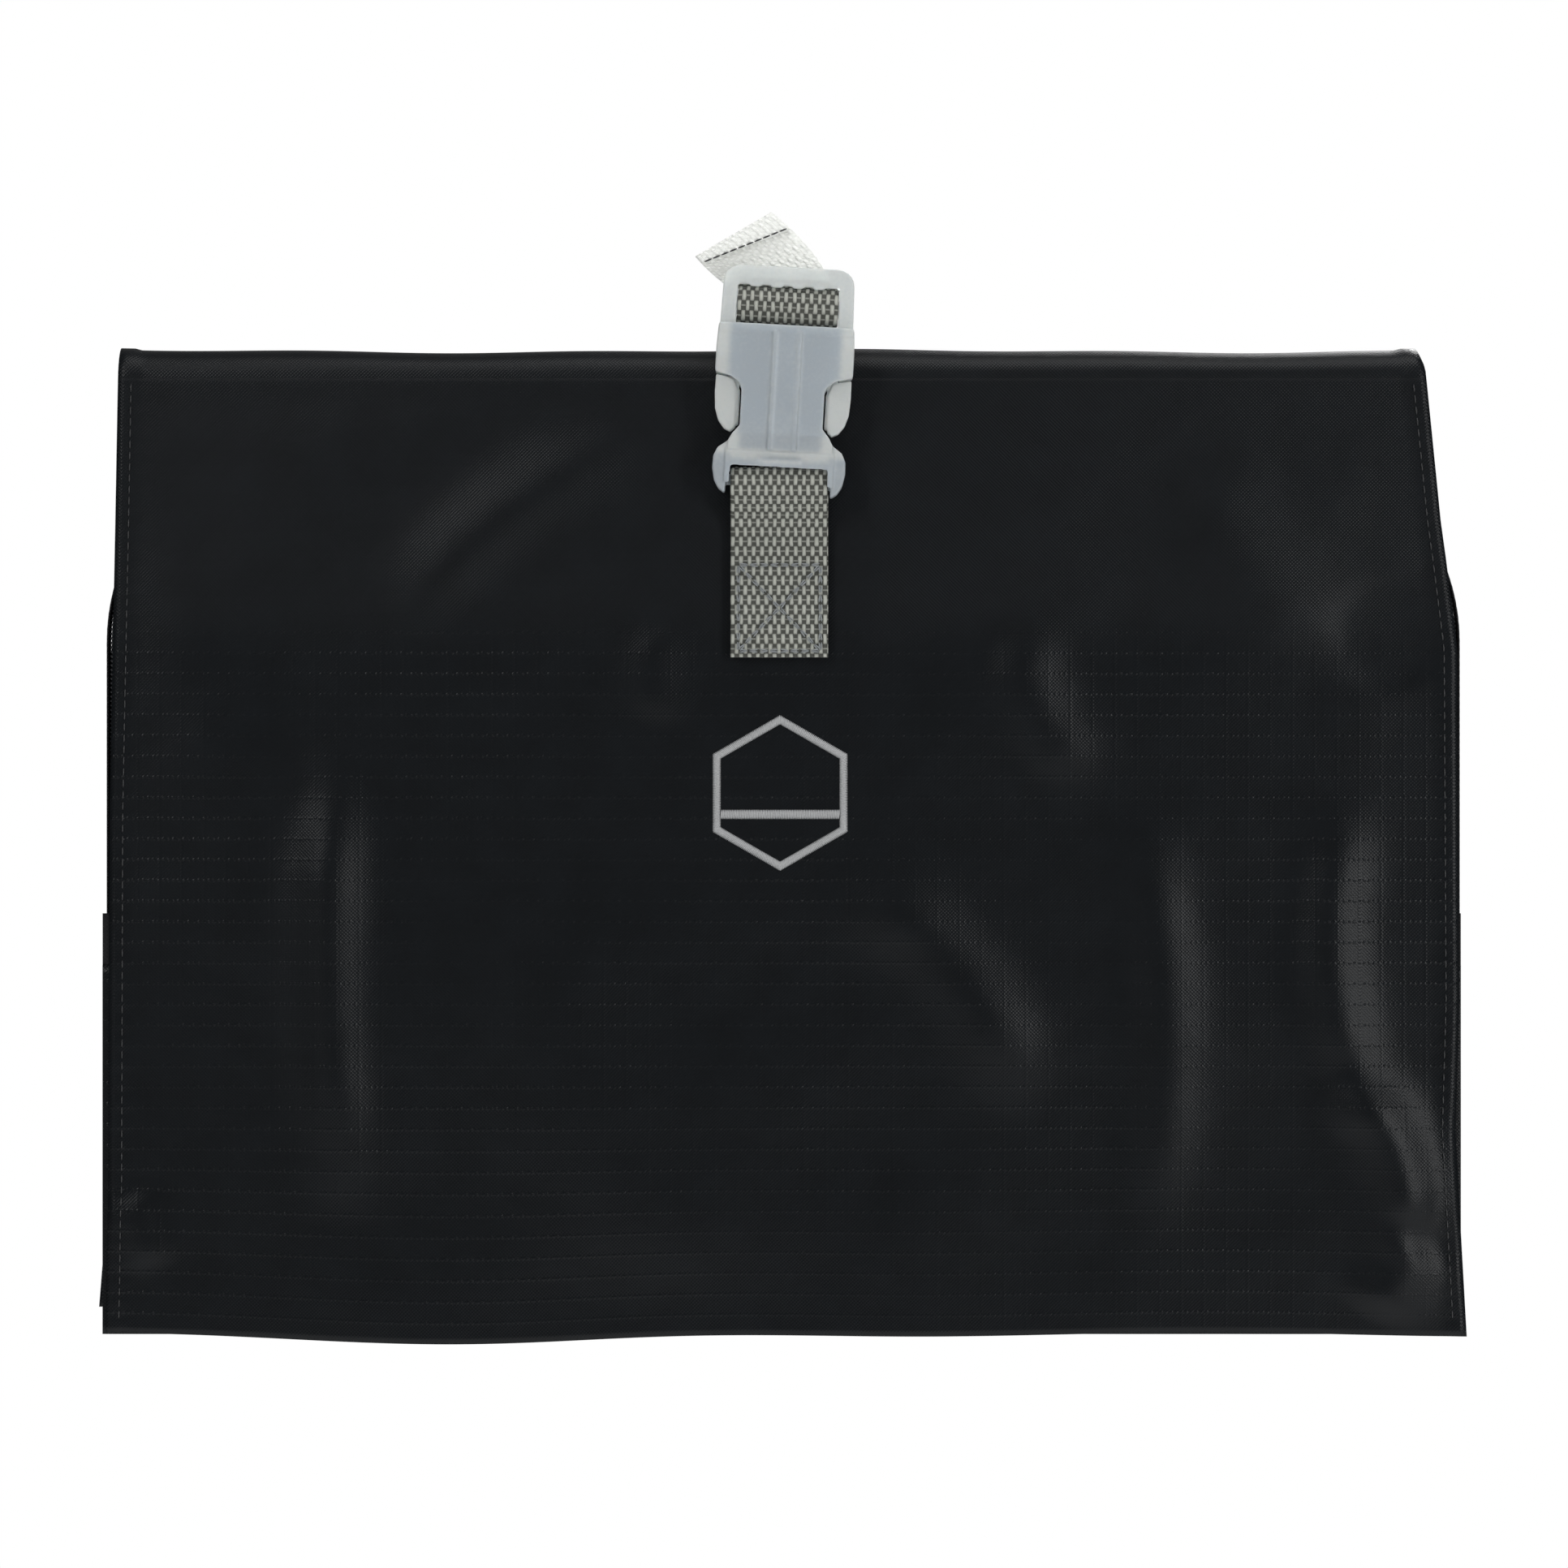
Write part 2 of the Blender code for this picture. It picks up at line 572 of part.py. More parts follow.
def make_socket(lean):
    """The buckle's socket, with a mouth, two side windows, a lip and a strap bar."""
    socket = plate("buckle_socket", mirrored(buckle_outline()), SOCKET_Y, "clear_plastic")
    socket.parent = lean
    inside = (SOCKET_Y[0] + SOCKET_WALL, SOCKET_Y[1] - SOCKET_WALL)
    front, back = SOCKET_Y[0] - MM, SOCKET_Y[1] + MM
    slot = SLOT_HALF_WIDTH
    below = SOCKET_BOTTOM + 4 * MM
    bar_top, bar_bottom = BAR_DOWN - BAR_HALF_HEIGHT, BAR_DOWN + BAR_HALF_HEIGHT
    bar_front, bar_back = BAR_Y - BAR_HALF_DEPTH, BAR_Y + BAR_HALF_DEPTH
    mouth = rectangle(-14.2 * MM, -8 * MM, 14.2 * MM, 22.7 * MM)
    cuts = [
        ("socket_mouth", mouth, inside),
        ("socket_lip_step", rectangle(-slot, LIP_TOP, slot, below), (front, LIP_Y[0])),
        ("socket_lip_end", rectangle(-slot, LIP_BOTTOM, slot, below), (front, bar_front)),
        ("socket_slot", rectangle(-slot, SLOT_TOP, slot, bar_top), (LIP_Y[1], back)),
        ("socket_bar_back", rectangle(-slot, SLOT_TOP, slot, below), (bar_back, back)),
        ("socket_bar_bottom", rectangle(-slot, bar_bottom, slot, below), (front, back)),
    ]
    window = [
        (20.0, 7.2),
        (17.0, 7.5),
        (13.6, 8.3),
        (11.6, 9.6),
        (10.6, 11.4),
        (10.6, 20.8),
        (12.6, 23.2),
        (20.0, 23.2),
    ]
    for name, side in (("left", -1), ("right", 1)):
        outline = [(side * x * MM, down * MM) for x, down in window]
        cuts.append((f"socket_window_{name}", outline, (front, back)))
        lobe = rectangle(side * slot, 24.4 * MM, side * 20 * MM, below)
        cuts.append((f"socket_lobe_{name}", lobe, (front, LOBE_FRONT_Y)))
    for name, outline, depth in cuts:
        tool = cutter(name, outline, depth)
        tool.parent = lean
        apply_boolean(socket, tool)


def frame_outline():
    """The plug's frame, with round shoulders and a narrow foot that enters the socket."""
    corner = arc((12.5, -16.1), 4.2, -90, 0, 5)
    return corner + [(17.0, -4.9), (13.7, -4.9), (13.7, -3.2)]


def make_plug(lean):
    """The buckle's plug: a frame with a strap bar and a guide, and two sprung prongs."""
    plug = plate("buckle_plug", mirrored(frame_outline()), FRAME_Y, "clear_plastic")
    plug.parent = lean
    through = (FRAME_Y[0] - MM, FRAME_Y[1] + MM)
    guide_depth = (FRAME_Y[0] + MM, FRAME_Y[1] - MM)
    slot = FRAME_SLOT_HALF_WIDTH
    lower = rectangle(-slot, -8.4 * MM, slot, -4.9 * MM)
    upper = rectangle(-slot, -15.5 * MM, slot, -11.8 * MM)
    bar_front = (FRAME_Y[0] - MM, FRAME_Y[0] + 1.9 * MM)
    bar = rectangle(-slot, -12.4 * MM, slot, -7.8 * MM)
    guide = rectangle(-3.0 * MM, -4.5 * MM, 3.0 * MM, 13 * MM)
    for name, outline, depth, operation in (
        ("plug_lower_slot", lower, through, "DIFFERENCE"),
        ("plug_upper_slot", upper, through, "DIFFERENCE"),
        ("plug_bar_relief", bar, bar_front, "DIFFERENCE"),
        ("plug_guide", guide, guide_depth, "UNION"),
    ):
        tool = cutter(name, outline, depth)
        tool.parent = lean
        apply_boolean(plug, tool, operation)

    arm = [
        (10.9, -2.9),
        (13.6, -2.9),
        (13.6, 9.6),
        (13.6, 20.0),
        (11.8, 20.0),
        (11.0, 8.0),
    ]
    ear = [
        (12.6, 9.2),
        (14.0, 8.6),
        (17.3, 7.9),
        (17.4, 12.5),
        (17.1, 16.8),
        (16.2, 19.6),
        (14.6, 21.7),
        (13.0, 22.4),
        (11.8, 21.4),
        (11.4, 12.0),
    ]
    for name, side in (("left", -1), ("right", 1)):
        outline = [(side * x * MM, down * MM) for x, down in arm]
        root = Vector((side * PRONG_ROOT_X, sum(PRONG_Y) / 2, height(PRONG_ROOT_DOWN)))
        prong = plate(f"buckle_prong_{name}", outline, PRONG_Y, "clear_plastic", root)
        prong.parent = lean
        pad = cutter(f"prong_ear_{name}", [(side * x * MM, down * MM) for x, down in ear], EAR_Y)
        pad.parent = lean
        apply_boolean(prong, pad, "UNION")


def make_tail(lean):
    """The strap's end, laced over the plug's bar and turned up behind its frame."""
    back = FRAME_Y[1] + GAP + WEB_THICKNESS / 2
    front = FRAME_Y[0] + 1.9 * MM - GAP - WEB_THICKNESS / 2
    path = [
        (back, -6.1 * MM),
        (FRAME_Y[1] - 0.6 * MM, -6.1 * MM),
        (front + 0.4 * MM, -6.6 * MM),
        (front, -8.2 * MM),
        (front, -12.0 * MM),
        (front + 0.4 * MM, -13.3 * MM),
        (FRAME_Y[1] - 0.6 * MM, -14.2 * MM),
        (back, -15.0 * MM),
        (back, -17.8 * MM),
    ]
    tail = ribbon("strap_tail", path, WEB_WIDTH, WEB_THICKNESS, "webbing")
    outline = [
        (12.5, -16.4),
        (7.9, -20.3),
        (6.7, -23.3),
        (3.3, -26.8),
        (-3.7, -32.7),
        (-5.9, -34.4),
        (-8.1, -34.9),
        (-24.6, -22.1),
        (-21.0, -18.2),
        (-14.5, -16.4),
    ]
    flap = [(x * MM, down * MM) for x, down in outline]
    depth = (back - WEB_THICKNESS / 2, back + WEB_THICKNESS / 2)
    tool = cutter("tail_flap", flap, depth)
    tail.parent = lean
    tool.parent = lean
    apply_boolean(tail, tool, "UNION")


def buckle_lean():
    """The empty that the buckle leans about. Its children keep their own places."""
    pivot = Vector((0, 0, height(BUCKLE_PIVOT_DOWN)))
    lean = bpy.data.objects.new("buckle_lean", None)
    turn = Matrix.Rotation(BUCKLE_LEAN, 4, "Y")
    lean.matrix_world = Matrix.Translation(pivot) @ turn @ Matrix.Translation(-pivot)
    bpy.context.collection.objects.link(lean)
    return lean


def main():
    for existing in list(bpy.data.objects):
        bpy.data.objects.remove(existing)
    make_fold()
    make_front_half()
    make_back_half()
    make_zips()
    make_sliders()
    make_sleeves()
    make_straps()
    make_emblem()
    lean = buckle_lean()
    make_socket(lean)
    make_plug(lean)
    make_tail(lean)


main()
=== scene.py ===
import math
from itertools import product

import bmesh
import bpy
import numpy as np
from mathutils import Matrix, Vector
from mathutils.bvhtree import BVHTree


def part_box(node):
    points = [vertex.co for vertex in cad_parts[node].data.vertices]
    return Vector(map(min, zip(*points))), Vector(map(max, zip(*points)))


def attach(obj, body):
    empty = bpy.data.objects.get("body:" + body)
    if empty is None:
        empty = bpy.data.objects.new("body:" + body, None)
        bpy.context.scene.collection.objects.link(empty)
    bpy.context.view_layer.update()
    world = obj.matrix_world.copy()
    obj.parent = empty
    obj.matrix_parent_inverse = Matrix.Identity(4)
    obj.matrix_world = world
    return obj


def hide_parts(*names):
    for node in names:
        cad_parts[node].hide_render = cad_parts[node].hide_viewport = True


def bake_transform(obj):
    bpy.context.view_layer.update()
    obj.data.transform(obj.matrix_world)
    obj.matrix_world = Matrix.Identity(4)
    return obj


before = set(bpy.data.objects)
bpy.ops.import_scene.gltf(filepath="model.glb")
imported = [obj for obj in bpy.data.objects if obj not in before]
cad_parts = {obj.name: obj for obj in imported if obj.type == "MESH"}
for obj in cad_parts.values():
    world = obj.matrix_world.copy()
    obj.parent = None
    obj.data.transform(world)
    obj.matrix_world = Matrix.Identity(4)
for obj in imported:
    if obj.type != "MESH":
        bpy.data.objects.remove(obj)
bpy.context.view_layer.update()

MM = 0.001
TURN = 2 * math.pi
TO_FRONT, TO_BACK = Vector((0, -1, 0)), Vector((0, 1, 0))

# How strongly the surroundings light the bag. The camera sees them as plain white.
SURROUND_LIGHT = 0.2

# Places taken from the frame, in metres.
FOLD_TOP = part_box("outer_fold")[1].z
FRONT_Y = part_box("front_outer_panel")[0].y
BACK_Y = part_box("back_outer_panel")[1].y
FOLD_RADIUS = 7.5 * MM
FOLD_CENTRE_Y = 0.05 * MM

# The webbing's size and the place of the front strap.
WEB_WIDTH, WEB_THICKNESS = 25 * MM, 1.2 * MM
FRONT_STRAP_X = -0.6 * MM

# The webbing's thread floats: how far apart their columns are, how far apart they are along a
# column, how much of that a half float takes up, and the powers that round them off.
FLOAT_PITCH, FLOAT_STEP, FLOAT_HALF = 1.075 * MM, 5.0 * MM, 0.27
ROUND_ACROSS, ROUND_ALONG, ROUND_TOP = 2.6, 3.0, 0.55

# The buckle leans sideways by this angle about this point.
LEAN = math.radians(3.2)
LEAN_PIVOT = Vector((0, 0, FOLD_TOP - 18 * MM))


# ---- materials


class Value:
    """A shader node's output that arithmetic works on."""

    def __init__(self, tree, socket):
        self.tree, self.socket = tree, socket

    def maths(self, operation, other=None, swapped=False, clamp=False):
        """A Math node over this value and another value or number."""
        made = self.tree.nodes.new("ShaderNodeMath")
        made.operation, made.use_clamp = operation, clamp
        pair = (other, self) if swapped else (self, other)
        for value, plug in zip(pair, made.inputs):
            if isinstance(value, Value):
                self.tree.links.new(value.socket, plug)
            elif value is not None:
                plug.default_value = value
        return Value(self.tree, made.outputs[0])

    def __add__(self, other):
        return self.maths("ADD", other)

    def __sub__(self, other):
        return self.maths("SUBTRACT", other)

    def __rsub__(self, other):
        return self.maths("SUBTRACT", other, swapped=True)

    def __mul__(self, other):
        return self.maths("MULTIPLY", other)

    def __truediv__(self, other):
        return self.maths("DIVIDE", other)


def wave(value, pitch):
    """A sine of that pitch, from -1 to 1."""
    return (value * (TURN / pitch)).maths("SINE")


def ridge(value, pitch, sharpness):
    """A narrow line once in each pitch, from 0 to 1."""
    cosine = (value * (TURN / pitch)).maths("COSINE")
    return (cosine * 0.5 + 0.5).maths("POWER", sharpness)


def map_range(value, end, low, high, kind):
    """A Map Range node with its From or To limits set."""
    made = value.tree.nodes.new("ShaderNodeMapRange")
    made.interpolation_type = kind
    made.inputs[f"{end} Min"].default_value = low
    made.inputs[f"{end} Max"].default_value = high
    value.tree.links.new(value.socket, made.inputs["Value"])
    return Value(value.tree, made.outputs[0])


def scaled(value, low, high):
    """Maps 0 to 1 onto low to high."""
    return map_range(value, "To", low, high, "LINEAR")


def between(value, low, high):
    """A smooth step from 0 at low to 1 at high."""
    return map_range(value, "From", low, high, "SMOOTHSTEP")


class Finish:
    """A Principled material in the making: its nodes, and what drives its inputs."""

    def __init__(self, name, colour, roughness, **inputs):
        self.made = bpy.data.materials.new(name)
        self.made.use_nodes = True
        self.tree = self.made.node_tree
        self.shader = self.tree.nodes["Principled BSDF"]
        self.shader.inputs["Base Color"].default_value = (*colour, 1)
        self.shader.inputs["Roughness"].default_value = roughness
        for key, value in inputs.items():
            self.shader.inputs[key.replace("_", " ")].default_value = value

    def cloth(self):
        """The piece's own flat map, and across and along it in millimetres."""
        flat = self.tree.nodes.new("ShaderNodeUVMap")
        flat.uv_map = "cloth"
        split = self.tree.nodes.new("ShaderNodeSeparateXYZ")
        self.tree.links.new(flat.outputs[0], split.inputs[0])
        across, along = (Value(self.tree, socket) * (1 / MM) for socket in split.outputs[:2])
        return flat.outputs[0], across, along

    def place(self):
        """The place on the piece, in metres."""
        return self.tree.nodes.new("ShaderNodeTexCoord").outputs["Object"]

    def stored(self, name):
        """A value that the mesh stores for each point."""
        made = self.tree.nodes.new("ShaderNodeAttribute")
        made.attribute_name = name
        return Value(self.tree, made.outputs["Fac"])

    def noise(self, vector, scale, detail):
        made = self.tree.nodes.new("ShaderNodeTexNoise")
        made.inputs["Scale"].default_value = scale
        made.inputs["Detail"].default_value = detail
        self.tree.links.new(vector, made.inputs["Vector"])
        return Value(self.tree, made.outputs["Fac"])

    def drive(self, name, value):
        """Let a value drive one of the shader's inputs."""
        self.tree.links.new(value.socket, self.shader.inputs[name])

    def colour(self, value, low, high, start=0.0, end=1.0):
        """Colour by a value: low at start and below, high at end and above."""
        mix = self.tree.nodes.new("ShaderNodeValToRGB")
        for element, colour, position in zip(mix.color_ramp.elements, (low, high), (start, end)):
            element.color = (*colour, 1)
            element.position = position
        self.tree.links.new(value.socket, mix.inputs[0])
        self.tree.links.new(mix.outputs[0], self.shader.inputs["Base Color"])

    def bump(self, height, distance, strength):
        made = self.tree.nodes.new("ShaderNodeBump")
        made.inputs["Distance"].default_value = distance
        made.inputs["Strength"].default_value = strength
        self.tree.links.new(height.socket, made.inputs["Height"])
        self.tree.links.new(made.outputs[0], self.shader.inputs["Normal"])


def ripstop_nylon():
    """Thin black ripstop: a fine plain weave with a raised grid of doubled threads.

    Along the fold the cloth is a plain dotted weave without the grid.
    """
    nylon = Finish("ripstop_nylon", (0.003, 0.0035, 0.004), 0.4, Specular_IOR_Level=0.17)
    flat, across, along = nylon.cloth()
    fold_begins, fold_ends = (172, 188), (336, 374)
    fold = between(along, *fold_begins) - between(along, *fold_ends)
    weave = wave(across, 0.9) * wave(along, 0.9) * scaled(fold, 0.14, 0.22)
    rows = ridge(along, 5.3, 26) * scaled(ridge(across, 1.3, 2), 0.2, 1)
    columns = ridge(across, 5.7, 30) * 0.3
    patches = scaled(nylon.noise(flat, 14, 2), -0.35, 1.35)
    grid = rows.maths("MAXIMUM", columns) * patches * (1 - fold)
    soft = nylon.noise(flat, 90, 4)
    nylon.bump(weave + grid + soft * 1.1, 0.16 * MM, 0.9)
    nylon.colour(scaled(soft, -0.2, 1.1), (0.0014, 0.0021, 0.0029), (0.0032, 0.0044, 0.0058))
    nylon.drive("Roughness", scaled(grid, 0.35, 0.3) + scaled(fold, 0, 0.02))
    return nylon.made


def plain_cloth(name, low, high, roughness, pitch):
    """A matt plain-woven cloth of one colour."""
    plain = Finish(name, low, roughness, Specular_IOR_Level=0.18)
    flat, across, along = plain.cloth()
    soft = plain.noise(flat, 120, 4)
    plain.bump(wave(across, pitch) * wave(along, pitch) * 0.4 + soft, 0.18 * MM, 0.8)
    plain.colour(soft, low, high)
    return plain.made


def woven_webbing(name, step, low, high):
    """Webbing: short thread floats in narrow columns. Its colour is painted darker towards each
    float's rounded edges and in the gaps between floats, as painted shade.
    """
    webbing = Finish(
        name, high, 0.7, Sheen_Weight=0.1, Subsurface_Weight=0.5,
        Subsurface_Radius=(0.003, 0.003, 0.0029),
    )
    flat, across, along = webbing.cloth()
    wander = scaled(webbing.noise(flat, 380, 2), -0.3, 0.3)
    column = (across + wander) / (FLOAT_PITCH / MM)
    every_other = column.maths("FLOOR").maths("MODULO", 2.0)
    place = along / (step / MM) + every_other * 0.5
    u = (column.maths("FRACT") - 0.5).maths("ABSOLUTE")
    v = (place.maths("FRACT") - 0.5).maths("ABSOLUTE")
    round_u = (u * 2.0).maths("POWER", ROUND_ACROSS, clamp=True)
    round_v = (v / FLOAT_HALF).maths("POWER", ROUND_ALONG, clamp=True)
    floats = ((1 - round_u) * (1 - round_v)).maths("POWER", ROUND_TOP, clamp=True)
    weft = between(v, 0.42, 0.5) * 0.5
    stretched = webbing.tree.nodes.new("ShaderNodeMapping")
    stretched.inputs["Scale"].default_value = (6000, 700, 1)
    webbing.tree.links.new(flat, stretched.inputs["Vector"])
    filaments = scaled(webbing.noise(stretched.outputs[0], 1.0, 2), 0.55, 1.3)
    value = floats.maths("MAXIMUM", weft) * filaments
    # Low colour: painted shade in the gaps and at the floats' rounded edges. High colour: the yarn
    # on the floats' tops.
    webbing.colour(value, low, high, 0.08, 0.82)
    webbing.bump(value, 0.3 * MM, 0.7)
    return webbing.made


def thread_material(name, low, high):
    """Shiny twisted thread."""
    thread = Finish(name, high, 0.42, Specular_IOR_Level=0.6)
    fine = thread.noise(thread.place(), 2600, 2)
    thread.colour(fine, low, high)
    thread.bump(fine, 0.06 * MM, 0.5)
    return thread.made


def frosted_plastic():
    """Natural acetal: milky where the wall is thick. Where the wall is thin, its colour is painted
    greyer, as painted shade for the dark bag seen through it.

    The piece stores, as one value under each point, how thick it is, with painted shade over thin
    spans.
    """
    plastic = Finish(
        "frosted_plastic", (0.7, 0.75, 0.77), 0.4, Transmission_Weight=0.6, IOR=1.42,
        Subsurface_Weight=0.15, Subsurface_Radius=(0.004, 0.005, 0.006),
    )
    place = plastic.place()
    cloudy, grain, speckle = (
        plastic.noise(place, scale, detail) for scale, detail in ((130, 3), (2400, 2), (1100, 2))
    )
    # The stored value carries painted shade: thin walls are coloured greyer for the dark bag
    # behind them.
    value = plastic.stored("milk_and_shade") + scaled(cloudy, -0.12, 0.12) + scaled(speckle, -0.24, 0.24)
    plastic.colour(value, (0.56, 0.615, 0.66), (0.88, 0.91, 0.895))
    plastic.drive("Roughness", scaled(cloudy, 0.34, 0.5))
    plastic.bump(grain, 0.05 * MM, 0.45)
    return plastic.made


def zip_plastic():
    """Glossy black nylon coil."""
    coil = Finish("zip_coil", (0.018, 0.019, 0.021), 0.3)
    coil.drive("Roughness", scaled(coil.noise(coil.place(), 900, 2), 0.22, 0.4))
    return coil.made


def enamelled_metal():
    """Black enamel on a cast slider, a little uneven in tone and gloss."""
    enamel = Finish("black_enamel", (0.03, 0.03, 0.033), 0.3, Metallic=0.6)
    fine = enamel.noise(enamel.place(), 700, 4)
    enamel.colour(fine, (0.018, 0.018, 0.02), (0.07, 0.07, 0.075))
    enamel.drive("Roughness", scaled(fine, 0.22, 0.42))
    return enamel.made


NYLON = ripstop_nylon()
LINER = plain_cloth("rubberised_liner", (0.008, 0.008, 0.009), (0.017, 0.017, 0.018), 0.6, 1.6)
TAPE = plain_cloth("zip_tape", (0.010, 0.010, 0.011), (0.022, 0.022, 0.024), 0.7, 0.8)
KNIT = plain_cloth("elastic_knit", (0.008, 0.008, 0.009), (0.02, 0.02, 0.021), 0.85, 1.1)
# Each webbing's first colour is painted shade for its gaps and float edges; its second colour is
# the yarn itself.
WEBBING = woven_webbing("grey_webbing", FLOAT_STEP, (0.040, 0.042, 0.034), (0.38, 0.39, 0.35))
REVERSE = woven_webbing("webbing_reverse", 2.1 * MM, (0.78, 0.79, 0.76), (0.86, 0.87, 0.84))
THREAD = thread_material("silver_thread", (0.20, 0.205, 0.21), (0.42, 0.425, 0.43))
GREY_THREAD = thread_material("stitching_thread", (0.11, 0.122, 0.126), (0.27, 0.29, 0.30))
BLACK_THREAD = thread_material("black_thread", (0.003, 0.0035, 0.004), (0.010, 0.011, 0.013))
PLASTIC = frosted_plastic()
COIL = zip_plastic()
ENAMEL = enamelled_metal()


# ---- mesh helpers


def finish_piece(name, mesh, finish, body=None, nodes=()):
    """An object from a mesh, with its finish and its body; the frame parts that it stands for are
    hidden.
    """
    made = bpy.data.objects.new(name, mesh)
    bpy.context.scene.collection.objects.link(made)
    mesh.materials.clear()
    mesh.materials.append(finish)
    mesh.shade_smooth()
    if body:
        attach(made, body)
    if nodes:
        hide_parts(*nodes)
    return made


def grid_mesh(name, points, cloth, closed_across=False):
    """A mesh over a grid of points [row][column], with a map of the flat cloth."""
    rows, columns = points.shape[:2]
    index = np.arange(rows * columns).reshape(rows, columns)
    a, b = index[:-1, :-1], index[:-1, 1:]
    c, d = index[1:, 1:], index[1:, :-1]
    quads = np.stack((a, b, c, d), -1).reshape(-1, 4)
    if closed_across:
        wrap = np.stack((index[:-1, -1], index[:-1, 0], index[1:, 0], index[1:, -1]), -1)
        quads = np.concatenate((quads, wrap.reshape(-1, 4)))
    mesh = bpy.data.meshes.new(name)
    mesh.from_pydata(points.reshape(-1, 3).tolist(), [], quads.tolist())
    uv = mesh.uv_layers.new(name="cloth")
    flat = cloth.reshape(-1, 2)
    corner = np.zeros(len(mesh.loops), np.int32)
    mesh.loops.foreach_get("vertex_index", corner)
    uv.data.foreach_set("uv", flat[corner].astype(np.float32).ravel())
    mesh.validate()
    mesh.update()
    return mesh


def thicken(piece, thickness):
    """Give a sheet its real thickness, on the side away from its normals."""
    step = piece.modifiers.new("thickness", "SOLIDIFY")
    step.thickness = thickness
    step.offset = -1.0


def mesh_from(builder, name):
    """Turn a bmesh into a mesh with its faces outwards."""
    bmesh.ops.recalc_face_normals(builder, faces=builder.faces)
    mesh = bpy.data.meshes.new(name)
    builder.to_mesh(mesh)
    builder.free()
    return mesh


def close_ends(mesh):
    """Close a tube's open ends and turn its faces outwards."""
    builder = bmesh.new()
    builder.from_mesh(mesh)
    edges = [item for item in builder.edges if item.is_boundary]
    bmesh.ops.holes_fill(builder, edges=edges, sides=0)
    bmesh.ops.recalc_face_normals(builder, faces=builder.faces)
    builder.to_mesh(mesh)
    builder.free()
    return mesh


def distances(points):
    """How far along the line each point is."""
    return np.concatenate(([0], np.cumsum(np.linalg.norm(np.diff(points, axis=0), axis=1))))


def directions(points):
    """The line's direction at each point."""
    tangent = np.gradient(points, axis=0)
    return tangent / np.linalg.norm(tangent, axis=1)[:, None]


def spline(points, spacing):
    """A smooth curve through the points, read at even spacing."""
    points = np.array(points, float)
    padded = np.vstack((2 * points[0] - points[1], points, 2 * points[-1] - points[-2]))
    dense = []
    for i in range(1, len(padded) - 2):
        p0, p1, p2, p3 = padded[i - 1 : i + 3]
        t = np.linspace(0, 1, 40, endpoint=False)[:, None]
        linear = 2 * p1 + (p2 - p0) * t
        square = (2 * p0 - 5 * p1 + 4 * p2 - p3) * t**2
        cubic = (3 * p1 - p0 - 3 * p2 + p3) * t**3
        dense.append(0.5 * (linear + square + cubic))
    dense = np.vstack(dense + [points[-1:]])
    length = distances(dense)
    count = max(2, int(round(length[-1] / spacing)) + 1)
    wanted = np.linspace(0, length[-1], count)
    smooth = np.stack([np.interp(wanted, length, dense[:, k]) for k in range(3)], -1)
    return smooth, wanted


def arc_points(centre, radius, start, end, steps):
    """Points on an arc between two angles in degrees."""
    angles = [math.radians(start + (end - start) * i / steps) for i in range(steps + 1)]
    return [
        (centre[0] + radius * math.cos(angle), centre[1] + radius * math.sin(angle))
        for angle in angles
    ]


def bezier(first, middle, last, t):
    """Points at each t from 0 to 1 on a curve that is pulled towards its middle point."""
    first, middle, last = (np.array(point, float) for point in (first, middle, last))
    return first * (1 - t) ** 2 + 2 * middle * t * (1 - t) + last * t**2


def smoothstep(low, high, value):
    """A smooth rise from 0 at low to 1 at high."""
    t = np.clip((value - low) / (high - low), 0, 1)
    return t * t * (3 - 2 * t)


def soft_floor(value, low, sharpness):
    """The value, bent smoothly so that it doesn't fall below low."""
    return np.log1p(np.exp(sharpness * (value - low))) / sharpness + low


def squared(value, power):
    """A sine or cosine pushed out towards 1 or -1, so that a circle turns squarer."""
    return np.sign(value) * np.abs(value) ** power


def swell(x, down, height, seed, pitch, waves=9):
    """A gentle uneven surface: a sum of slow waves, all in millimetres."""
    draw = np.random.default_rng(seed)
    total = np.zeros_like(x)
    for _ in range(waves):
        angle, phase = draw.uniform(0, math.pi), draw.uniform(0, TURN)
        length = pitch * draw.uniform(0.6, 1.7)
        total += np.sin(TURN * (x * math.cos(angle) + down * math.sin(angle)) / length + phase)
    return height * total / waves


# ---- outer cloth

# How far each half hangs below the top of the fold, in millimetres.
FRONT_DOWN, BACK_DOWN = 253, 248

# Left and right edge of each half, as (down, x) in millimetres.
FRONT_EDGES = (
    ((0, -170.2), (60, -171.3), (120, -172.5), (215, -172.8), (FRONT_DOWN, -173.6)),
    (
        (0, 163.2), (5, 165.2), (44, 169.1), (54, 170.5), (77, 173.4), (168, 173.9),
        (201, 172.9), (223, 174.1), (FRONT_DOWN, 175.8),
    ),
)
BACK_EDGES = (
    ((0, -170.2), (78, -173.8), (215, -174.4), (BACK_DOWN, -177.0)),
    ((0, 163.2), (5, 165.2), (54, 170.6), (77, 174.8), (BACK_DOWN, 174.9)),
)

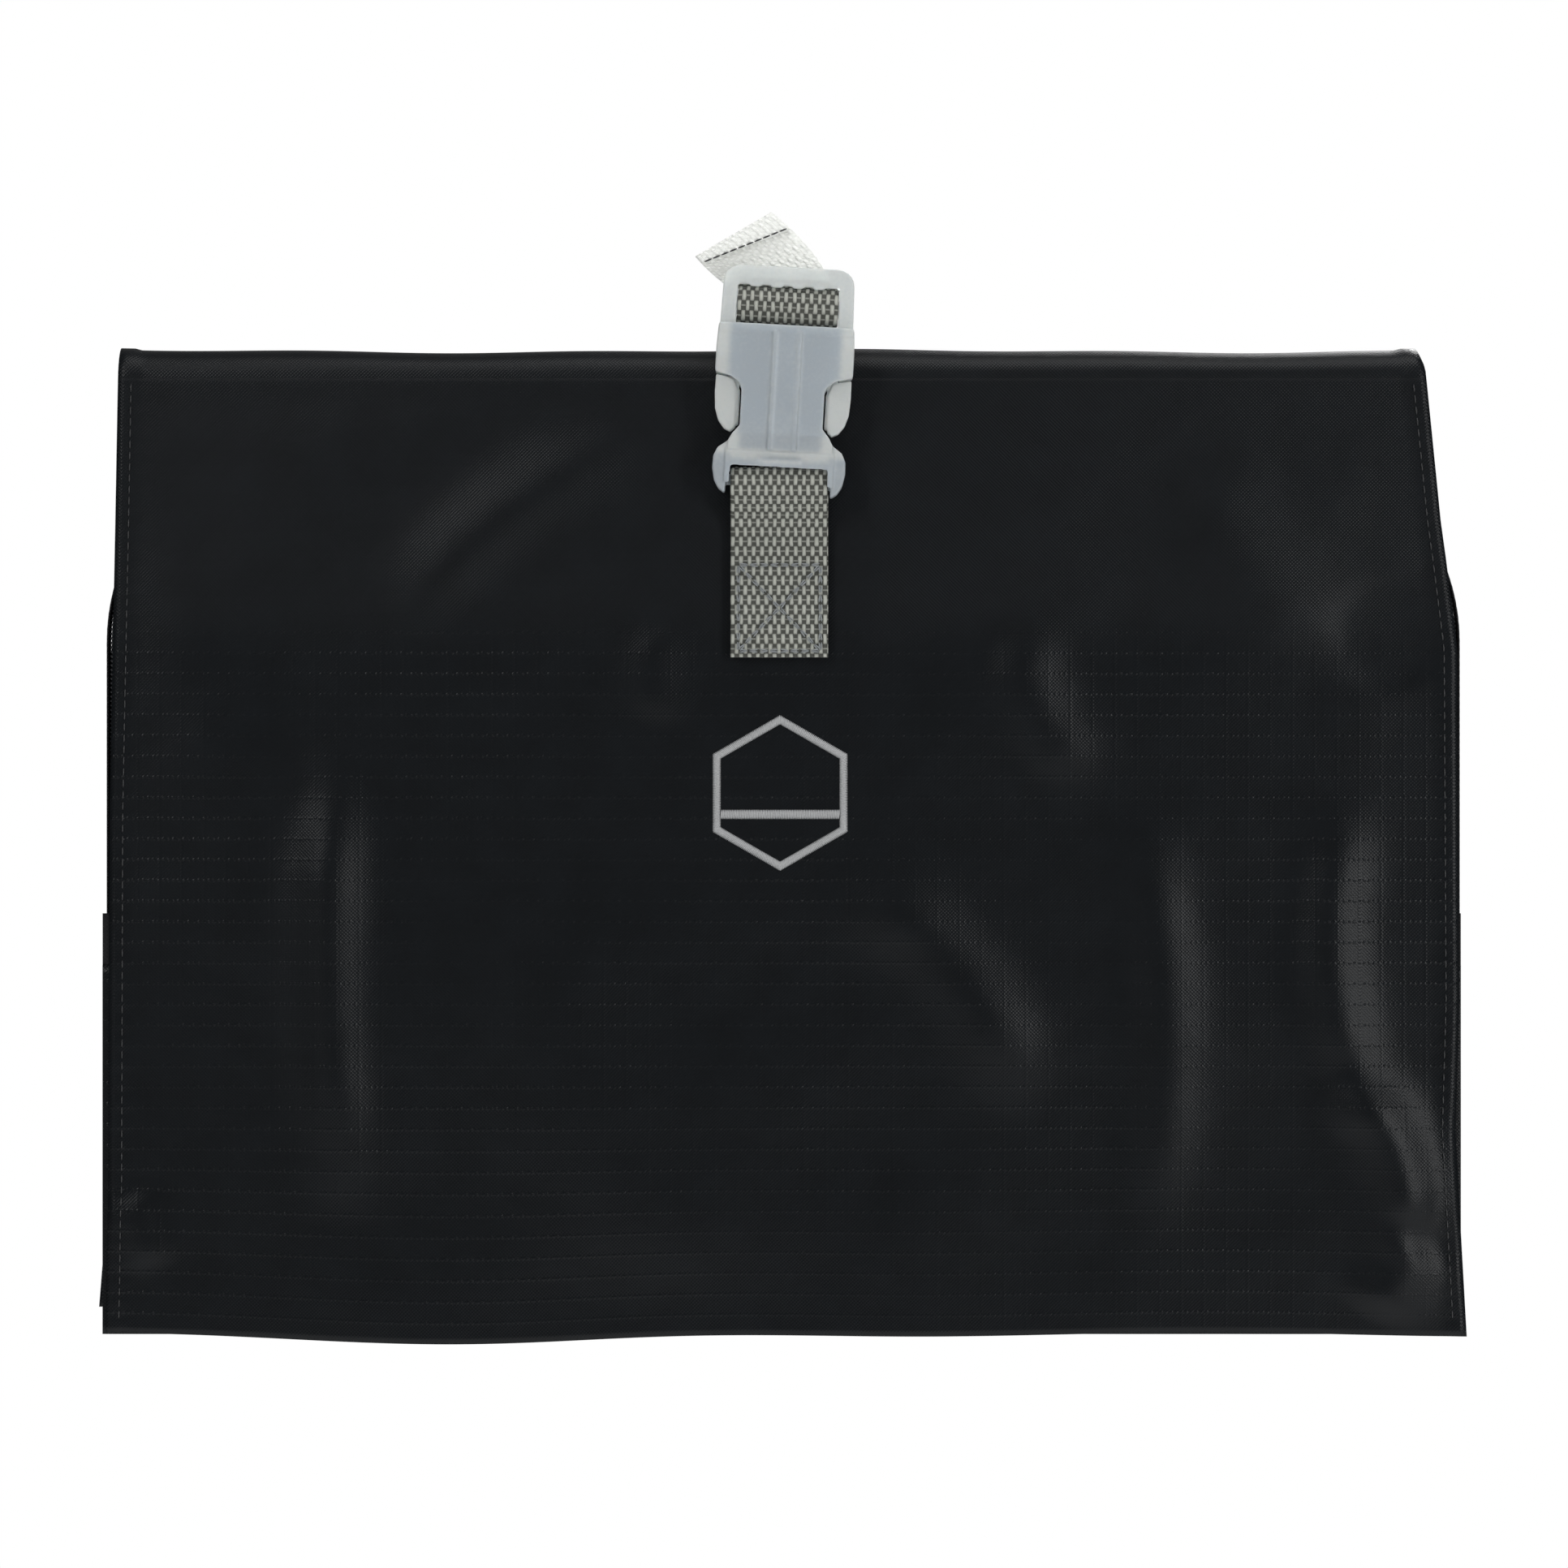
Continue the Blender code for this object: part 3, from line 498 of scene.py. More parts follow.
# Creases: start and end as (x, down), half width, height and bow, in millimetres.
FRONT_CREASES = (
    ((-113, 114), (-111, 207), 9.1, 3.42, 3),
    ((-96, 64), (-44, 23), 10.4, 2.28, -4),
    ((-30, 73), (-29, 94), 7.8, 1.14, 2),
    ((62, 73), (79, 109), 10.4, 2.09, 3),
    ((24, 137), (62, 184), 11.7, 2.66, -4),
    ((97, 129), (98, 219), 9.1, 2.09, -3),
    ((145, 125), (149, 190), 9.1, 3.04, 4),
    ((150, 190), (163, 226), 9.1, 4.18, -3),
    ((163, 230), (154, 247), 9.1, 2.85, -2),
    ((-166, 218), (-160, 234), 6.5, 1.52, 1),
    ((153, 62), (160, 84), 9.1, -2.28, 2),
    ((-60, 150), (-20, 236), 20.8, 1.71, 7),
    ((-150, 60), (-142, 160), 19.5, 1.52, -4),
    ((110, 30), (140, 70), 15.6, 1.71, 4),
)
BACK_CREASES = (
    ((-120, 60), (-60, 120), 12, 0.8, 6),
    ((60, 140), (130, 200), 12, 0.8, -6),
    ((-140, 170), (-120, 235), 9, 0.8, 3),
    ((40, 110), (48, 235), 13, 0.6, 5),
)

# The hem's stitch line and the end of its doubled cloth, in millimetres from the edge.
HEM_LINE, HEM_END = 3.4, (4.2, 5.4)
# The front's deepest hollow, and how far inside the frame the back's cloth lies.
DEEPEST, BACK_INSET = -0.45, 0.5
# The outer cloth's mesh: row spacing in millimetres, columns, and rows over the fold.
CLOTH_STEP, CLOTH_COLUMNS, FOLD_ROWS = 1.7, 190, 15


def sides(edges, down):
    """Left and right x of a half of the bag."""
    return [np.interp(down, *zip(*table)) for table in edges]


def crease(x, down, start, end, width, height, bow):
    """A soft ridge along a bowed line, fading at both ends."""
    (x0, d0), (x1, d1) = start, end
    along = np.array((x1 - x0, d1 - d0), float)
    length = np.linalg.norm(along)
    along /= length
    t = ((x - x0) * along[0] + (down - d0) * along[1]) / length
    aside = (x - x0) * -along[1] + (down - d0) * along[0]
    aside = aside - bow * np.sin(math.pi * np.clip(t, 0, 1))
    ends = smoothstep(-0.22, 0.25, t) * (1 - smoothstep(0.75, 1.22, t))
    lean = 1 + 0.45 * np.tanh(aside / width)
    return height * ends * lean * np.exp(-((aside / width) ** 2))


def hem(inward, thickness, groove):
    """The hem's doubled cloth, with the groove that its stitches pull."""
    doubled = thickness * (1 - smoothstep(*HEM_END, inward))
    return doubled - groove * np.exp(-(((inward - HEM_LINE) / 0.7) ** 2))


def under_strap(x, down):
    """1 where the strap holds the cloth flat, falling to 0 beside and below it."""
    return np.exp(-((x / 19) ** 4)) * (1 - smoothstep(84, 96, down))


def front_relief(x, down):
    """How far the front stands out, in millimetres, at x and down in millimetres."""
    left, right = sides(FRONT_EDGES, down)
    inward = np.minimum(x - left, right - x)
    pucker = 0.14 * np.sin(TURN * down / 5.2) * np.exp(-(((inward - HEM_LINE) / 2.2) ** 2))
    broad = swell(x, down, height=1.6, seed=3, pitch=150)
    broad = broad + swell(x, down, height=0.8, seed=8, pitch=52)
    calm = smoothstep(10, 26, inward) * 0.8 + 0.2
    shape = broad * calm + swell(x, down, height=0.13, seed=21, pitch=15, waves=14)
    shape = shape + sum(crease(x, down, *row) for row in FRONT_CREASES)
    held = under_strap(x, down)
    shape = soft_floor(shape * (1 - 0.92 * held) - 0.35 * held, DEEPEST, 3)
    return hem(inward, 0.45, 0.3) + pucker + shape * smoothstep(6, 26, down)


def back_relief(x, down):
    """How far the back stands out, in millimetres, at x and down in millimetres."""
    left, right = sides(BACK_EDGES, down)
    inward = np.minimum(x - left, right - x)
    shape = swell(x, down, height=0.5, seed=31, pitch=120)
    shape = shape + swell(x, down, height=0.3, seed=36, pitch=45)
    shape = shape + swell(x, down, height=0.1, seed=40, pitch=14, waves=14)
    shape = shape + sum(crease(x, down, *row) for row in BACK_CREASES)
    held = under_strap(x, down)
    shape = shape * (1 - 0.95 * held) - 0.1 * held
    return hem(inward, 0.3, 0.25) + shape * smoothstep(6, 26, down) - BACK_INSET


def cloth_point(half, x, down, lift):
    """A point on the front or back cloth, in metres, from x, down and lift in millimetres."""
    relief, y, way = (front_relief, FRONT_Y, -1) if half == "front" else (back_relief, BACK_Y, 1)
    out = relief(np.array([float(x)]), float(down))[0] + lift
    return Vector((x * MM, y + way * out * MM, FOLD_TOP - down * MM))


def front_row(x, down):
    """Y and Z of a row of the front. The bottom edge sags a little, left of its middle."""
    sag = 2.4 * np.exp(-(((x + 75) / 50) ** 2)) + 0.5 * np.sin(x / 23)
    reach = down + sag * smoothstep(180, FRONT_DOWN, down)
    return FRONT_Y / MM - front_relief(x, down), FOLD_TOP / MM - reach


def fold_row(x, angle):
    """Y and Z of a row over the fold, at its angle from the front. It wobbles a little."""
    radius = FOLD_RADIUS / MM
    bead = 0.45 * (1 - smoothstep(*HEM_END, np.minimum(x - x[0], x[-1] - x)))
    wobble = 0.35 * np.sin(x / 31 + 1) + 0.22 * np.sin(x / 11)
    reach = radius + bead + wobble * math.sin(angle) ** 2
    y = FOLD_CENTRE_Y / MM - reach * math.cos(angle)
    return y, FOLD_TOP / MM - radius + reach * math.sin(angle)


def back_row(x, down):
    """Y and Z of a row of the back."""
    return BACK_Y / MM + back_relief(x, down), np.full_like(x, FOLD_TOP / MM - down)


def make_outer_cloth():
    """One cloth: up the front, over the fold and down the back, with hemmed sides."""
    radius = FOLD_RADIUS / MM
    plan = []
    for down in np.arange(FRONT_DOWN, radius, -CLOTH_STEP):
        plan.append((FRONT_EDGES, down, front_row, down, CLOTH_STEP))
    for angle in np.linspace(0, math.pi, FOLD_ROWS):
        down = radius - radius * math.sin(angle)
        plan.append((FRONT_EDGES, down, fold_row, angle, math.pi * radius / (FOLD_ROWS - 1)))
    for down in np.arange(radius + CLOTH_STEP, BACK_DOWN, CLOTH_STEP):
        plan.append((BACK_EDGES, down, back_row, down, CLOTH_STEP))
    share = np.linspace(0, 1, CLOTH_COLUMNS)
    rows, cloth, travelled = [], [], 0.0
    for edges, down, row, place, step in plan:
        left, right = sides(edges, down)
        x = left + (right - left) * share
        y, z = row(x, place)
        rows.append(np.stack((x, y, z), -1))
        cloth.append(np.stack((x, np.full_like(x, travelled)), -1))
        travelled += step
    mesh = grid_mesh("outer_cloth", np.array(rows) * MM, np.array(cloth) * MM)
    nodes = ("front_outer_panel", "outer_fold", "back_outer_panel", "front_hem_left",
             "front_hem_right")
    piece = finish_piece("outer_cloth", mesh, NYLON, nodes=nodes)
    thicken(piece, 0.6 * MM)
    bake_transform(piece)
    travelled * MM


# ---- stitches


def add_stitch(builder, start, end, normal, radius, arch=1.0):
    """One thread crossing from start to end, arched over the cloth."""
    steps, corners = 4, 6
    aside = (end - start).normalized().cross(normal).normalized()
    rings = []
    for i in range(steps + 1):
        rise = math.sin(math.pi * i / steps)
        centre = start.lerp(end, i / steps) + normal * radius * arch * rise
        size = radius * (0.35 + 0.65 * rise**0.5)
        ring = []
        for k in range(corners):
            angle = TURN * k / corners
            offset = (aside * math.cos(angle) + normal * math.sin(angle)) * size
            ring.append(builder.verts.new(centre + offset))
        rings.append(ring)
    for first, second in zip(rings, rings[1:]):
        for k in range(corners):
            following = (k + 1) % corners
            builder.faces.new((first[k], first[following], second[following], second[k]))
    builder.faces.new(rings[0][::-1])
    builder.faces.new(rings[-1])


def make_hem_stitches():
    """A lockstitch line down each side of the front and of the back."""
    top, pitch, length, clear = 9.0, 2.9, 2.1, 2.0
    for half, edges, bottom, normal in (
        ("front", FRONT_EDGES, FRONT_DOWN - clear, TO_FRONT),
        ("back", BACK_EDGES, BACK_DOWN - clear, TO_BACK),
    ):
        builder = bmesh.new()
        for side, inward in ((0, HEM_LINE), (1, -HEM_LINE)):
            down = top
            while down + length < bottom:
                start, end = (
                    cloth_point(half, sides(edges, level)[side] + inward, level, 0.08)
                    for level in (down, down + length)
                )
                add_stitch(builder, start, end, normal, 0.22 * MM)
                down += pitch
        name = f"{half}_hem_stitches"
        finish_piece(name, mesh_from(builder, name), BLACK_THREAD, f"{half}_half")


def make_box_stitches(half, normal):
    """A boxed cross: doubled short stitches along a rectangle and its two diagonals."""
    pitch, sunk, apart = 2.5 * MM, 0.25 * MM, 0.24 * MM
    name, node_name = f"{half}_box_stitches", f"{half}_box_stitch"
    low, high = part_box(node_name)
    y = high.y if normal.y > 0 else low.y
    corners = [
        Vector((x, y, z))
        for x, z in ((low.x, high.z), (high.x, high.z), (high.x, low.z), (low.x, low.z))
    ]
    lines = [(corners[i], corners[(i + 1) % 4]) for i in range(4)]
    lines += [(corners[0], corners[2]), (corners[1], corners[3])]
    builder = bmesh.new()
    for start, end in lines:
        count = round((end - start).length / pitch)
        for i in range(count):
            a, b = (start.lerp(end, (i + part) / count) - normal * sunk for part in (0.12, 0.92))
            for shift in (-apart, apart):
                aside = (b - a).cross(normal).normalized() * shift
                slant = aside * (0.5 if i % 2 else -0.3)
                add_stitch(builder, a + aside - slant, b + aside + slant, normal, 0.2 * MM)
    mesh = mesh_from(builder, name)
    finish_piece(name, mesh, GREY_THREAD, f"{half}_half", (node_name,))


def satin(builder, centre, first, second):
    """Fill between two lines, each two points about the centre, with threads across."""
    pitch = 0.44
    first, second = np.array(first), np.array(second)
    count = int(np.linalg.norm(first[1] - first[0]) / pitch)
    for k in range(count):
        ends = []
        for line, nudge in ((first, 0.004), (second, -0.004)):
            share = (k + 0.5) / count + nudge
            x, down = centre + (line[0] + (line[1] - line[0]) * share)
            ends.append(cloth_point("front", x, down, 0.15))
        add_stitch(builder, ends[0], ends[1], TO_FRONT, 0.28 * MM, 1.1)


def make_emblem():
    """A satin-stitched hexagon with a bar across it, lying on the front cloth."""
    low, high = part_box("front_emblem")
    centre = np.array(((low.x + high.x) / 2, FOLD_TOP - (low.z + high.z) / 2)) / MM
    outer = (high.z - low.z) / 2 / MM
    line, bar_down = 2.4, 5.5
    builder = bmesh.new()
    outside, inside = (
        arc_points((0, 0), radius, 30, 390, 6) for radius in (outer, outer - line)
    )
    for i in range(6):
        satin(builder, centre, outside[i : i + 2], inside[i : i + 2])
    reach = (outer - line) * math.cos(math.radians(30))
    upper, lower = (
        ((-reach, level), (reach, level)) for level in (bar_down - line / 2, bar_down + line / 2)
    )
    satin(builder, centre, upper, lower)
    mesh = mesh_from(builder, "embroidered_emblem")
    finish_piece("embroidered_emblem", mesh, THREAD, "front_half", ("front_emblem",))


# ---- webbing


def weave_height(across, along):
    """Height from 0 to 1 of the thread floats, each column half a step on from the last."""
    column = np.floor(across / FLOAT_PITCH)
    u = across / FLOAT_PITCH - column - 0.5
    v = along / FLOAT_STEP + 0.5 * np.mod(column, 2)
    v = v - np.floor(v) - 0.5
    round_u = np.clip(1 - (2 * np.abs(u)) ** ROUND_ACROSS, 0, 1)
    round_v = np.clip(1 - (np.abs(v) / FLOAT_HALF) ** ROUND_ALONG, 0, 1)
    return (round_u * round_v) ** ROUND_TOP


def webbing_mesh(name, centre, along, across_axis, outward, start=0.0, width=WEB_WIDTH):
    """A closed woven strap about a row of centres, with one outward normal for each.

    start is how far the weave has already run when the strap begins.
    """
    sunk, float_height = 0.17 * MM, 0.3 * MM
    share = np.linspace(-0.5, 0.5, 116)
    edge_round = np.sqrt(np.clip(1 - (np.abs(share) * 2) ** 18, 0, 1))
    faces, maps = [], []
    for side in (1, -1):
        place = share[::side] * width
        u = place + width / 2
        weave = weave_height(u[None, :], (along + start)[:, None])
        thick = (WEB_THICKNESS / 2 - sunk + weave * float_height) * edge_round[::side]
        body = centre[:, None] + across_axis[:, None] * place[:, None]
        faces.append(body + outward[:, None] * (side * thick)[:, :, None])
        maps.append(np.stack(np.broadcast_arrays(u[None, :], (along + start)[:, None]), -1))
    points, cloth = np.concatenate(faces, 1), np.concatenate(maps, 1)
    return close_ends(grid_mesh(name, points, cloth, closed_across=True))


def tilted(vectors, way=1):
    """Turn directions by the buckle's lean, or back by it if way is -1."""
    cosine, sine = math.cos(LEAN), math.sin(LEAN) * way
    made = np.array(vectors, float)
    x, z = made[..., 0].copy(), made[..., 2].copy()
    made[..., 0], made[..., 2] = x * cosine + z * sine, z * cosine - x * sine
    return made


def leaned(places, way=1):
    """Turn places by the buckle's lean about its pivot, or back."""
    return tilted(places - np.array(LEAN_PIVOT), way) + np.array(LEAN_PIVOT)


def strap(
    name, path, body=None, nodes=(), start=0.0, lean=False, flip=1, x=0.0, width=WEB_WIDTH
):
    """A strap along a path of (y, down) points in millimetres. Returns it with its length."""
    points = [(x, y * MM, FOLD_TOP - down * MM) for y, down in path]
    centre, along = spline(points, 0.42 * MM)
    across_axis = np.tile(np.array((1.0, 0, 0)), (len(centre), 1))
    outward = np.cross(across_axis, directions(centre)) * flip
    if lean:
        centre, across_axis, outward = leaned(centre), tilted(across_axis), tilted(outward)
    mesh = webbing_mesh(name, centre, along, across_axis, outward, start, width)
    return finish_piece(name, mesh, WEBBING, body, nodes), along[-1]


def make_straps():
    """Front loop round the socket's bar, strap over the fold and the laced end."""
    inner, outer, end = -8.45, -10.0, 79.2
    path = [
        (inner, end), (inner, 60), (inner, 48), (-9.2, 41), (-9.8, 36.5), (-9.95, 34.4),
        (-10.7, 32.5), (-12.6, 31.5), (-14.7, 31.4), (-16.2, 32.3), (-16.6, 34.4), (-16.5, 36.5),
        (-15.7, 38.4), (-13.2, 41.4), (-10.9, 43.8), (-10.1, 47.5), (outer, 56), (outer, end),
    ]
    strap("front_webbing", path, "front_half", ("front_strap",), flip=-1, x=FRONT_STRAP_X)

    back = 8.5
    path = [
        (back, 80), (back, 60), (back, 40), (back, 20), (back + 0.1, 9), (back - 0.2, 1),
        (back - 1.4, -4), (back - 3.8, -7.0), (back - 6.6, -8.1), (0, -8.2), (-3, -8.1),
        (-5.5, -8.0),
    ]
    loop, length = strap("loop_webbing", path, nodes=("strap_loop",))
    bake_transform(loop)
    path = [(-5.5, -8.0), (-8, -7.8), (-10.2, -7.2), (-12.0, -6.4)]
    loop_end, _ = strap("loop_webbing_end", path, start=length)
    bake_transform(loop_end)

    path = [
        (-11.6, -6.4), (-13.2, -6.0), (-15.1, -6.3), (-16.0, -7.8), (-16.2, -10.2),
        (-16.0, -12.4), (-15.2, -13.9), (-13.4, -14.6), (-11.8, -15.6), (-11.35, -17.4),
    ]
    strap("laced_webbing", path, "buckle_plug", ("strap_tail",), lean=True, width=25.8 * MM)
    make_strap_end()


def make_strap_end():
    """The strap's turned-up end, seen from its pale reverse, with its hem and stitches; the
    stitches are near-black, partly painted shadow along the hem's edge.
    """
    rows, hem_rows, length = 64, 13, 24 * MM
    start_y, bow, hem_lift = -11.35, 0.9, 0.92 * WEB_THICKNESS
    t = np.linspace(0, 1, rows)
    left = bezier((-15.0, -14.5), (-19.5, -17.2), (-24.4, -22.0), t[:, None])
    right = bezier((10.6, -15.5), (9.6, -23.5), (-5.4, -34.5), t[:, None])
    middle, aside = (left + right) / 2, (right - left) * (MM / WEB_WIDTH)
    y = start_y + bow * np.sin(math.pi * t * 0.9)
    centre = np.stack((middle[:, 0], y, FOLD_TOP / MM - middle[:, 1]), -1) * MM
    across_axis = np.stack((aside[:, 0], np.zeros(rows), -aside[:, 1]), -1)
    outward = np.tile(np.array(TO_FRONT), (rows, 1))
    centre, across_axis, outward = leaned(centre), tilted(across_axis), tilted(outward)
    along = t * length
    mesh = webbing_mesh("strap_end", centre, along, across_axis, outward, 3 * MM)
    finish_piece("strap_end", mesh, REVERSE, "buckle_plug")

    last = slice(rows - hem_rows, rows)
    lifted = centre[last] - np.array((0, hem_lift, 0))
    mesh = webbing_mesh(
        "strap_end_hem", lifted, along[last], across_axis[last] * 0.985, outward[last], 5.5 * MM
    )
    finish_piece("strap_end_hem", mesh, REVERSE, "buckle_plug")

    # The hem's stitches are near-black: partly the thread, partly painted shadow along the hem's
    # folded edge.
    builder = bmesh.new()
    row, count, seam_width = rows - hem_rows + 1, 10, 0.94 * WEB_WIDTH
    lift = np.array((0, WEB_THICKNESS * 1.5, 0))
    for i in range(count):
        start, end = (
            Vector(centre[row] + across_axis[row] * seam_width * ((i + part) / count - 0.5) - lift)
            for part in (0.06, 0.94)
        )
        add_stitch(builder, start, end, TO_FRONT, 0.22 * MM, 0.7)
    mesh = mesh_from(builder, "strap_end_stitches_and_shadow")
    finish_piece("strap_end_stitches_and_shadow", mesh, BLACK_THREAD, "buckle_plug")


# ---- buckle

# Solids that the moulds add, as low and high corners (x, y, down) in millimetres.
SOCKET_RIBS = (
    # The raised channel down the middle and its two lips.
    ((-3.0, -19.45, -3.6), (3.8, -18.6, 26.9)),
    ((-3.3, -19.8, -3.6), (-2.2, -18.6, 26.9)),
    ((3.0, -19.8, -3.6), (4.1, -18.6, 26.9)),
    # The mouth's rim.
    ((-17.1, -19.3, -5.3), (17.1, -17.4, -3.1)),
    # A short bar over the strap, and a rib beside each ear.
    ((-5.4, -18.8, 28.9), (5.4, -18.0, 29.7)),
    ((-13.9, -18.3, 26.5), (-12.4, -17.75, 35.5)),
    ((12.4, -18.3, 26.5), (13.9, -17.75, 35.5)),
)
PLUG_TEETH = tuple(
    ((x - 1.4, -16.5, -16.4), (x + 1.4, -14.6, -14.9)) for x in (-8.4, -3.0, 2.4, 7.8)
)
# Where the socket gets painted shade, grey for the dark bag behind its thin wall, as (low x, high
# x, top, bottom) in millimetres.
SOCKET_PAINTED_SHADE = ((-10.5, 10.5, 20, 26.8), (-18, -12.5, 28, 42), (12.5, 18, 28, 42))


def solid_box(builder, low, high):
    """Add a leaned box to a mould, its corners in millimetres as (x, y, down)."""
    corners = []
    for x, y, down in product(*zip(low, high)):
        place = leaned(np.array((x * MM, y * MM, FOLD_TOP - down * MM)))
        corners.append(builder.verts.new(place))
    for face in (
        (0, 1, 3, 2), (4, 6, 7, 5), (0, 4, 5, 1), (2, 3, 7, 6), (0, 2, 6, 4), (1, 5, 7, 3)
    ):
        builder.faces.new([corners[i] for i in face])


def moulded(
    name, node_name, body, finish, extras=(), voxel=0.3 * MM, rounds=5, painted_shade_spans=()
):
    """A moulded piece: the frame's shape with extra ribs, fused, with rounded edges."""
    builder = bmesh.new()
    builder.from_mesh(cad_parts[node_name].data)
    bmesh.ops.remove_doubles(builder, verts=builder.verts, dist=0.005 * MM)
    ribs = bmesh.new()
    for low, high in extras:
        solid_box(ribs, low, high)
    rib_mesh = mesh_from(ribs, "ribs")
    builder.from_mesh(rib_mesh)
    bpy.data.meshes.remove(rib_mesh)
    mesh = bpy.data.meshes.new(name)
    builder.to_mesh(mesh)
    builder.free()
    mould = bpy.data.objects.new("mould", mesh)
    bpy.context.scene.collection.objects.link(mould)
    fuse = mould.modifiers.new("fuse", "REMESH")
    fuse.mode = "VOXEL"
    fuse.voxel_size = voxel
    soften = mould.modifiers.new("soften", "SMOOTH")
    soften.factor = 0.5
    soften.iterations = rounds
    graph = bpy.context.evaluated_depsgraph_get()
    done = bpy.data.meshes.new_from_object(mould.evaluated_get(graph))
    bpy.data.objects.remove(mould)
    done.name = name
    store_milk_and_shade(done, painted_shade_spans)
    finish_piece(name, done, finish, body, (node_name,))


def store_milk_and_shade(mesh, painted_shade_spans):
    """Store, from 0 to 1, how thick the moulding is under each point; thin walls get painted
    shade.

    The spans given are leaned, as (low x, high x, top, bottom) in millimetres, and count as thin:
    they get the painted shade.
    """
    # grey is the painted shade that the given spans get.
    thin, thick, deepest, grey, blur_rounds = 1.6, 4.6, 8, 0.1, 10
    count = len(mesh.vertices)
    places, normals = np.zeros(count * 3), np.zeros(count * 3)
    mesh.vertices.foreach_get("co", places)
    mesh.vertices.foreach_get("normal", normals)
    places, normals = places.reshape(-1, 3), normals.reshape(-1, 3)
    tree = BVHTree.FromPolygons(places.tolist(), [list(face.vertices) for face in mesh.polygons])
    depth = np.full(count, float(deepest))
    for i in range(count):
        inward = -Vector(normals[i])
        hit = tree.ray_cast(Vector(places[i]) + inward * 0.1 * MM, inward, deepest * MM)
        if hit[3] is not None:
            depth[i] = hit[3] / MM
    milk_and_shade = smoothstep(thin, thick, depth)
    upright = leaned(places, way=-1)
    x, down = upright[:, 0] / MM, (FOLD_TOP - upright[:, 2]) / MM
    for low, high, top, bottom in painted_shade_spans:
        milk_and_shade[(x > low) & (x < high) & (down > top) & (down < bottom)] = grey
    ends = np.zeros(len(mesh.edges) * 2, np.int32)
    mesh.edges.foreach_get("vertices", ends)
    first, second = ends.reshape(-1, 2).T
    number = np.bincount(first, minlength=count) + np.bincount(second, minlength=count)
    for _ in range(blur_rounds):
        total = np.bincount(first, milk_and_shade[second], count) + np.bincount(second, milk_and_shade[first], count)
        milk_and_shade = (milk_and_shade + total) / (1 + number)
    stored = mesh.attributes.new("milk_and_shade", "FLOAT", "POINT")
    stored.data.foreach_set("value", milk_and_shade.astype(np.float32))


def make_buckle():
    """Socket, plug and prongs, with the ribs and teeth that the mould gives them."""
    moulded("socket_moulding", "buckle_socket", "front_half", PLASTIC,
            SOCKET_RIBS, rounds=8, painted_shade_spans=SOCKET_PAINTED_SHADE)
    moulded("plug_moulding", "buckle_plug", "buckle_plug", PLASTIC, PLUG_TEETH,
            rounds=10)
    for name, low_x, high_x in (("left", -12.2, -10.95), ("right", 10.95, 12.2)):
        pad = ((low_x, -16.9, 11.8), (high_x, -12.1, 20.6))
        moulded(f"prong_{name}_moulding", f"buckle_prong_{name}", f"prong_{name}", PLASTIC,
                (pad,), voxel=0.25 * MM, rounds=7)


# ---- inside

# The mouth's outline, in millimetres: its sides, corner radius and the corners' lower end.
MOUTH_LEFT, MOUTH_RIGHT, MOUTH_RADIUS, MOUTH_LEVEL = -174.2, 175.0, 54.0, 75.0


def mouth_edges(down, inset):
    """Left and right x of the mouth's rounded edge, in millimetres."""
    radius = MOUTH_RADIUS - inset
    over = np.clip(MOUTH_LEVEL - down, 0, radius)
    shift = inset + radius - math.sqrt(max(radius**2 - over**2, 0))
    return MOUTH_LEFT + shift, MOUTH_RIGHT - shift


def panel_sheet(name, rows, y, relief, finish, body, nodes, facing, gather=0.0):
    """A cloth panel from rows of (down, left, right), standing at one Y.

    gather is how far its side edges are drawn away from the way it faces, to meet the next layer.
    """
    share = np.linspace(0, 1, 120)
    points, cloth = [], []
    for down, left, right in rows:
        x = left + (right - left) * share
        level = np.full_like(x, down)
        inward = np.minimum(x - left, right - x)
        out = 0.12 * (1 - smoothstep(4.0, 5.2, inward)) - gather * (1 - smoothstep(0, 9, inward))
        out = out + swell(x, level, height=0.6 * relief, seed=17, pitch=70)
        out = out + swell(x, level, height=0.4 * relief, seed=5, pitch=24)
        points.append(np.stack((x, y / MM + facing * out, FOLD_TOP / MM - level), -1))
        cloth.append(np.stack((x, level), -1))
    points, cloth = np.array(points) * MM, np.array(cloth) * MM
    if facing > 0:
        points, cloth = points[:, ::-1], cloth[:, ::-1]
    mesh = grid_mesh(name, points[::-1], cloth[::-1])
    piece = finish_piece(name, mesh, finish, body, nodes)
    thicken(piece, 0.5 * MM)
    wide = max(right - left for _, left, right in rows) * MM
    tall = (rows[-1][0] - rows[0][0]) * MM
    area = sum(
        ((a[2] - a[1]) + (b[2] - b[1])) / 2 * (b[0] - a[0]) for a, b in zip(rows, rows[1:])
    )
    min(area * MM * MM, wide * tall)


def inset_rows(levels, from_left, from_right):
    """Rows of (down, left, right) that follow the front's outline, a little inside it."""
    rows = []
    for down in levels:
        left, right = sides(FRONT_EDGES, down)
        rows.append((down, left + from_left, right - from_right))
    return rows


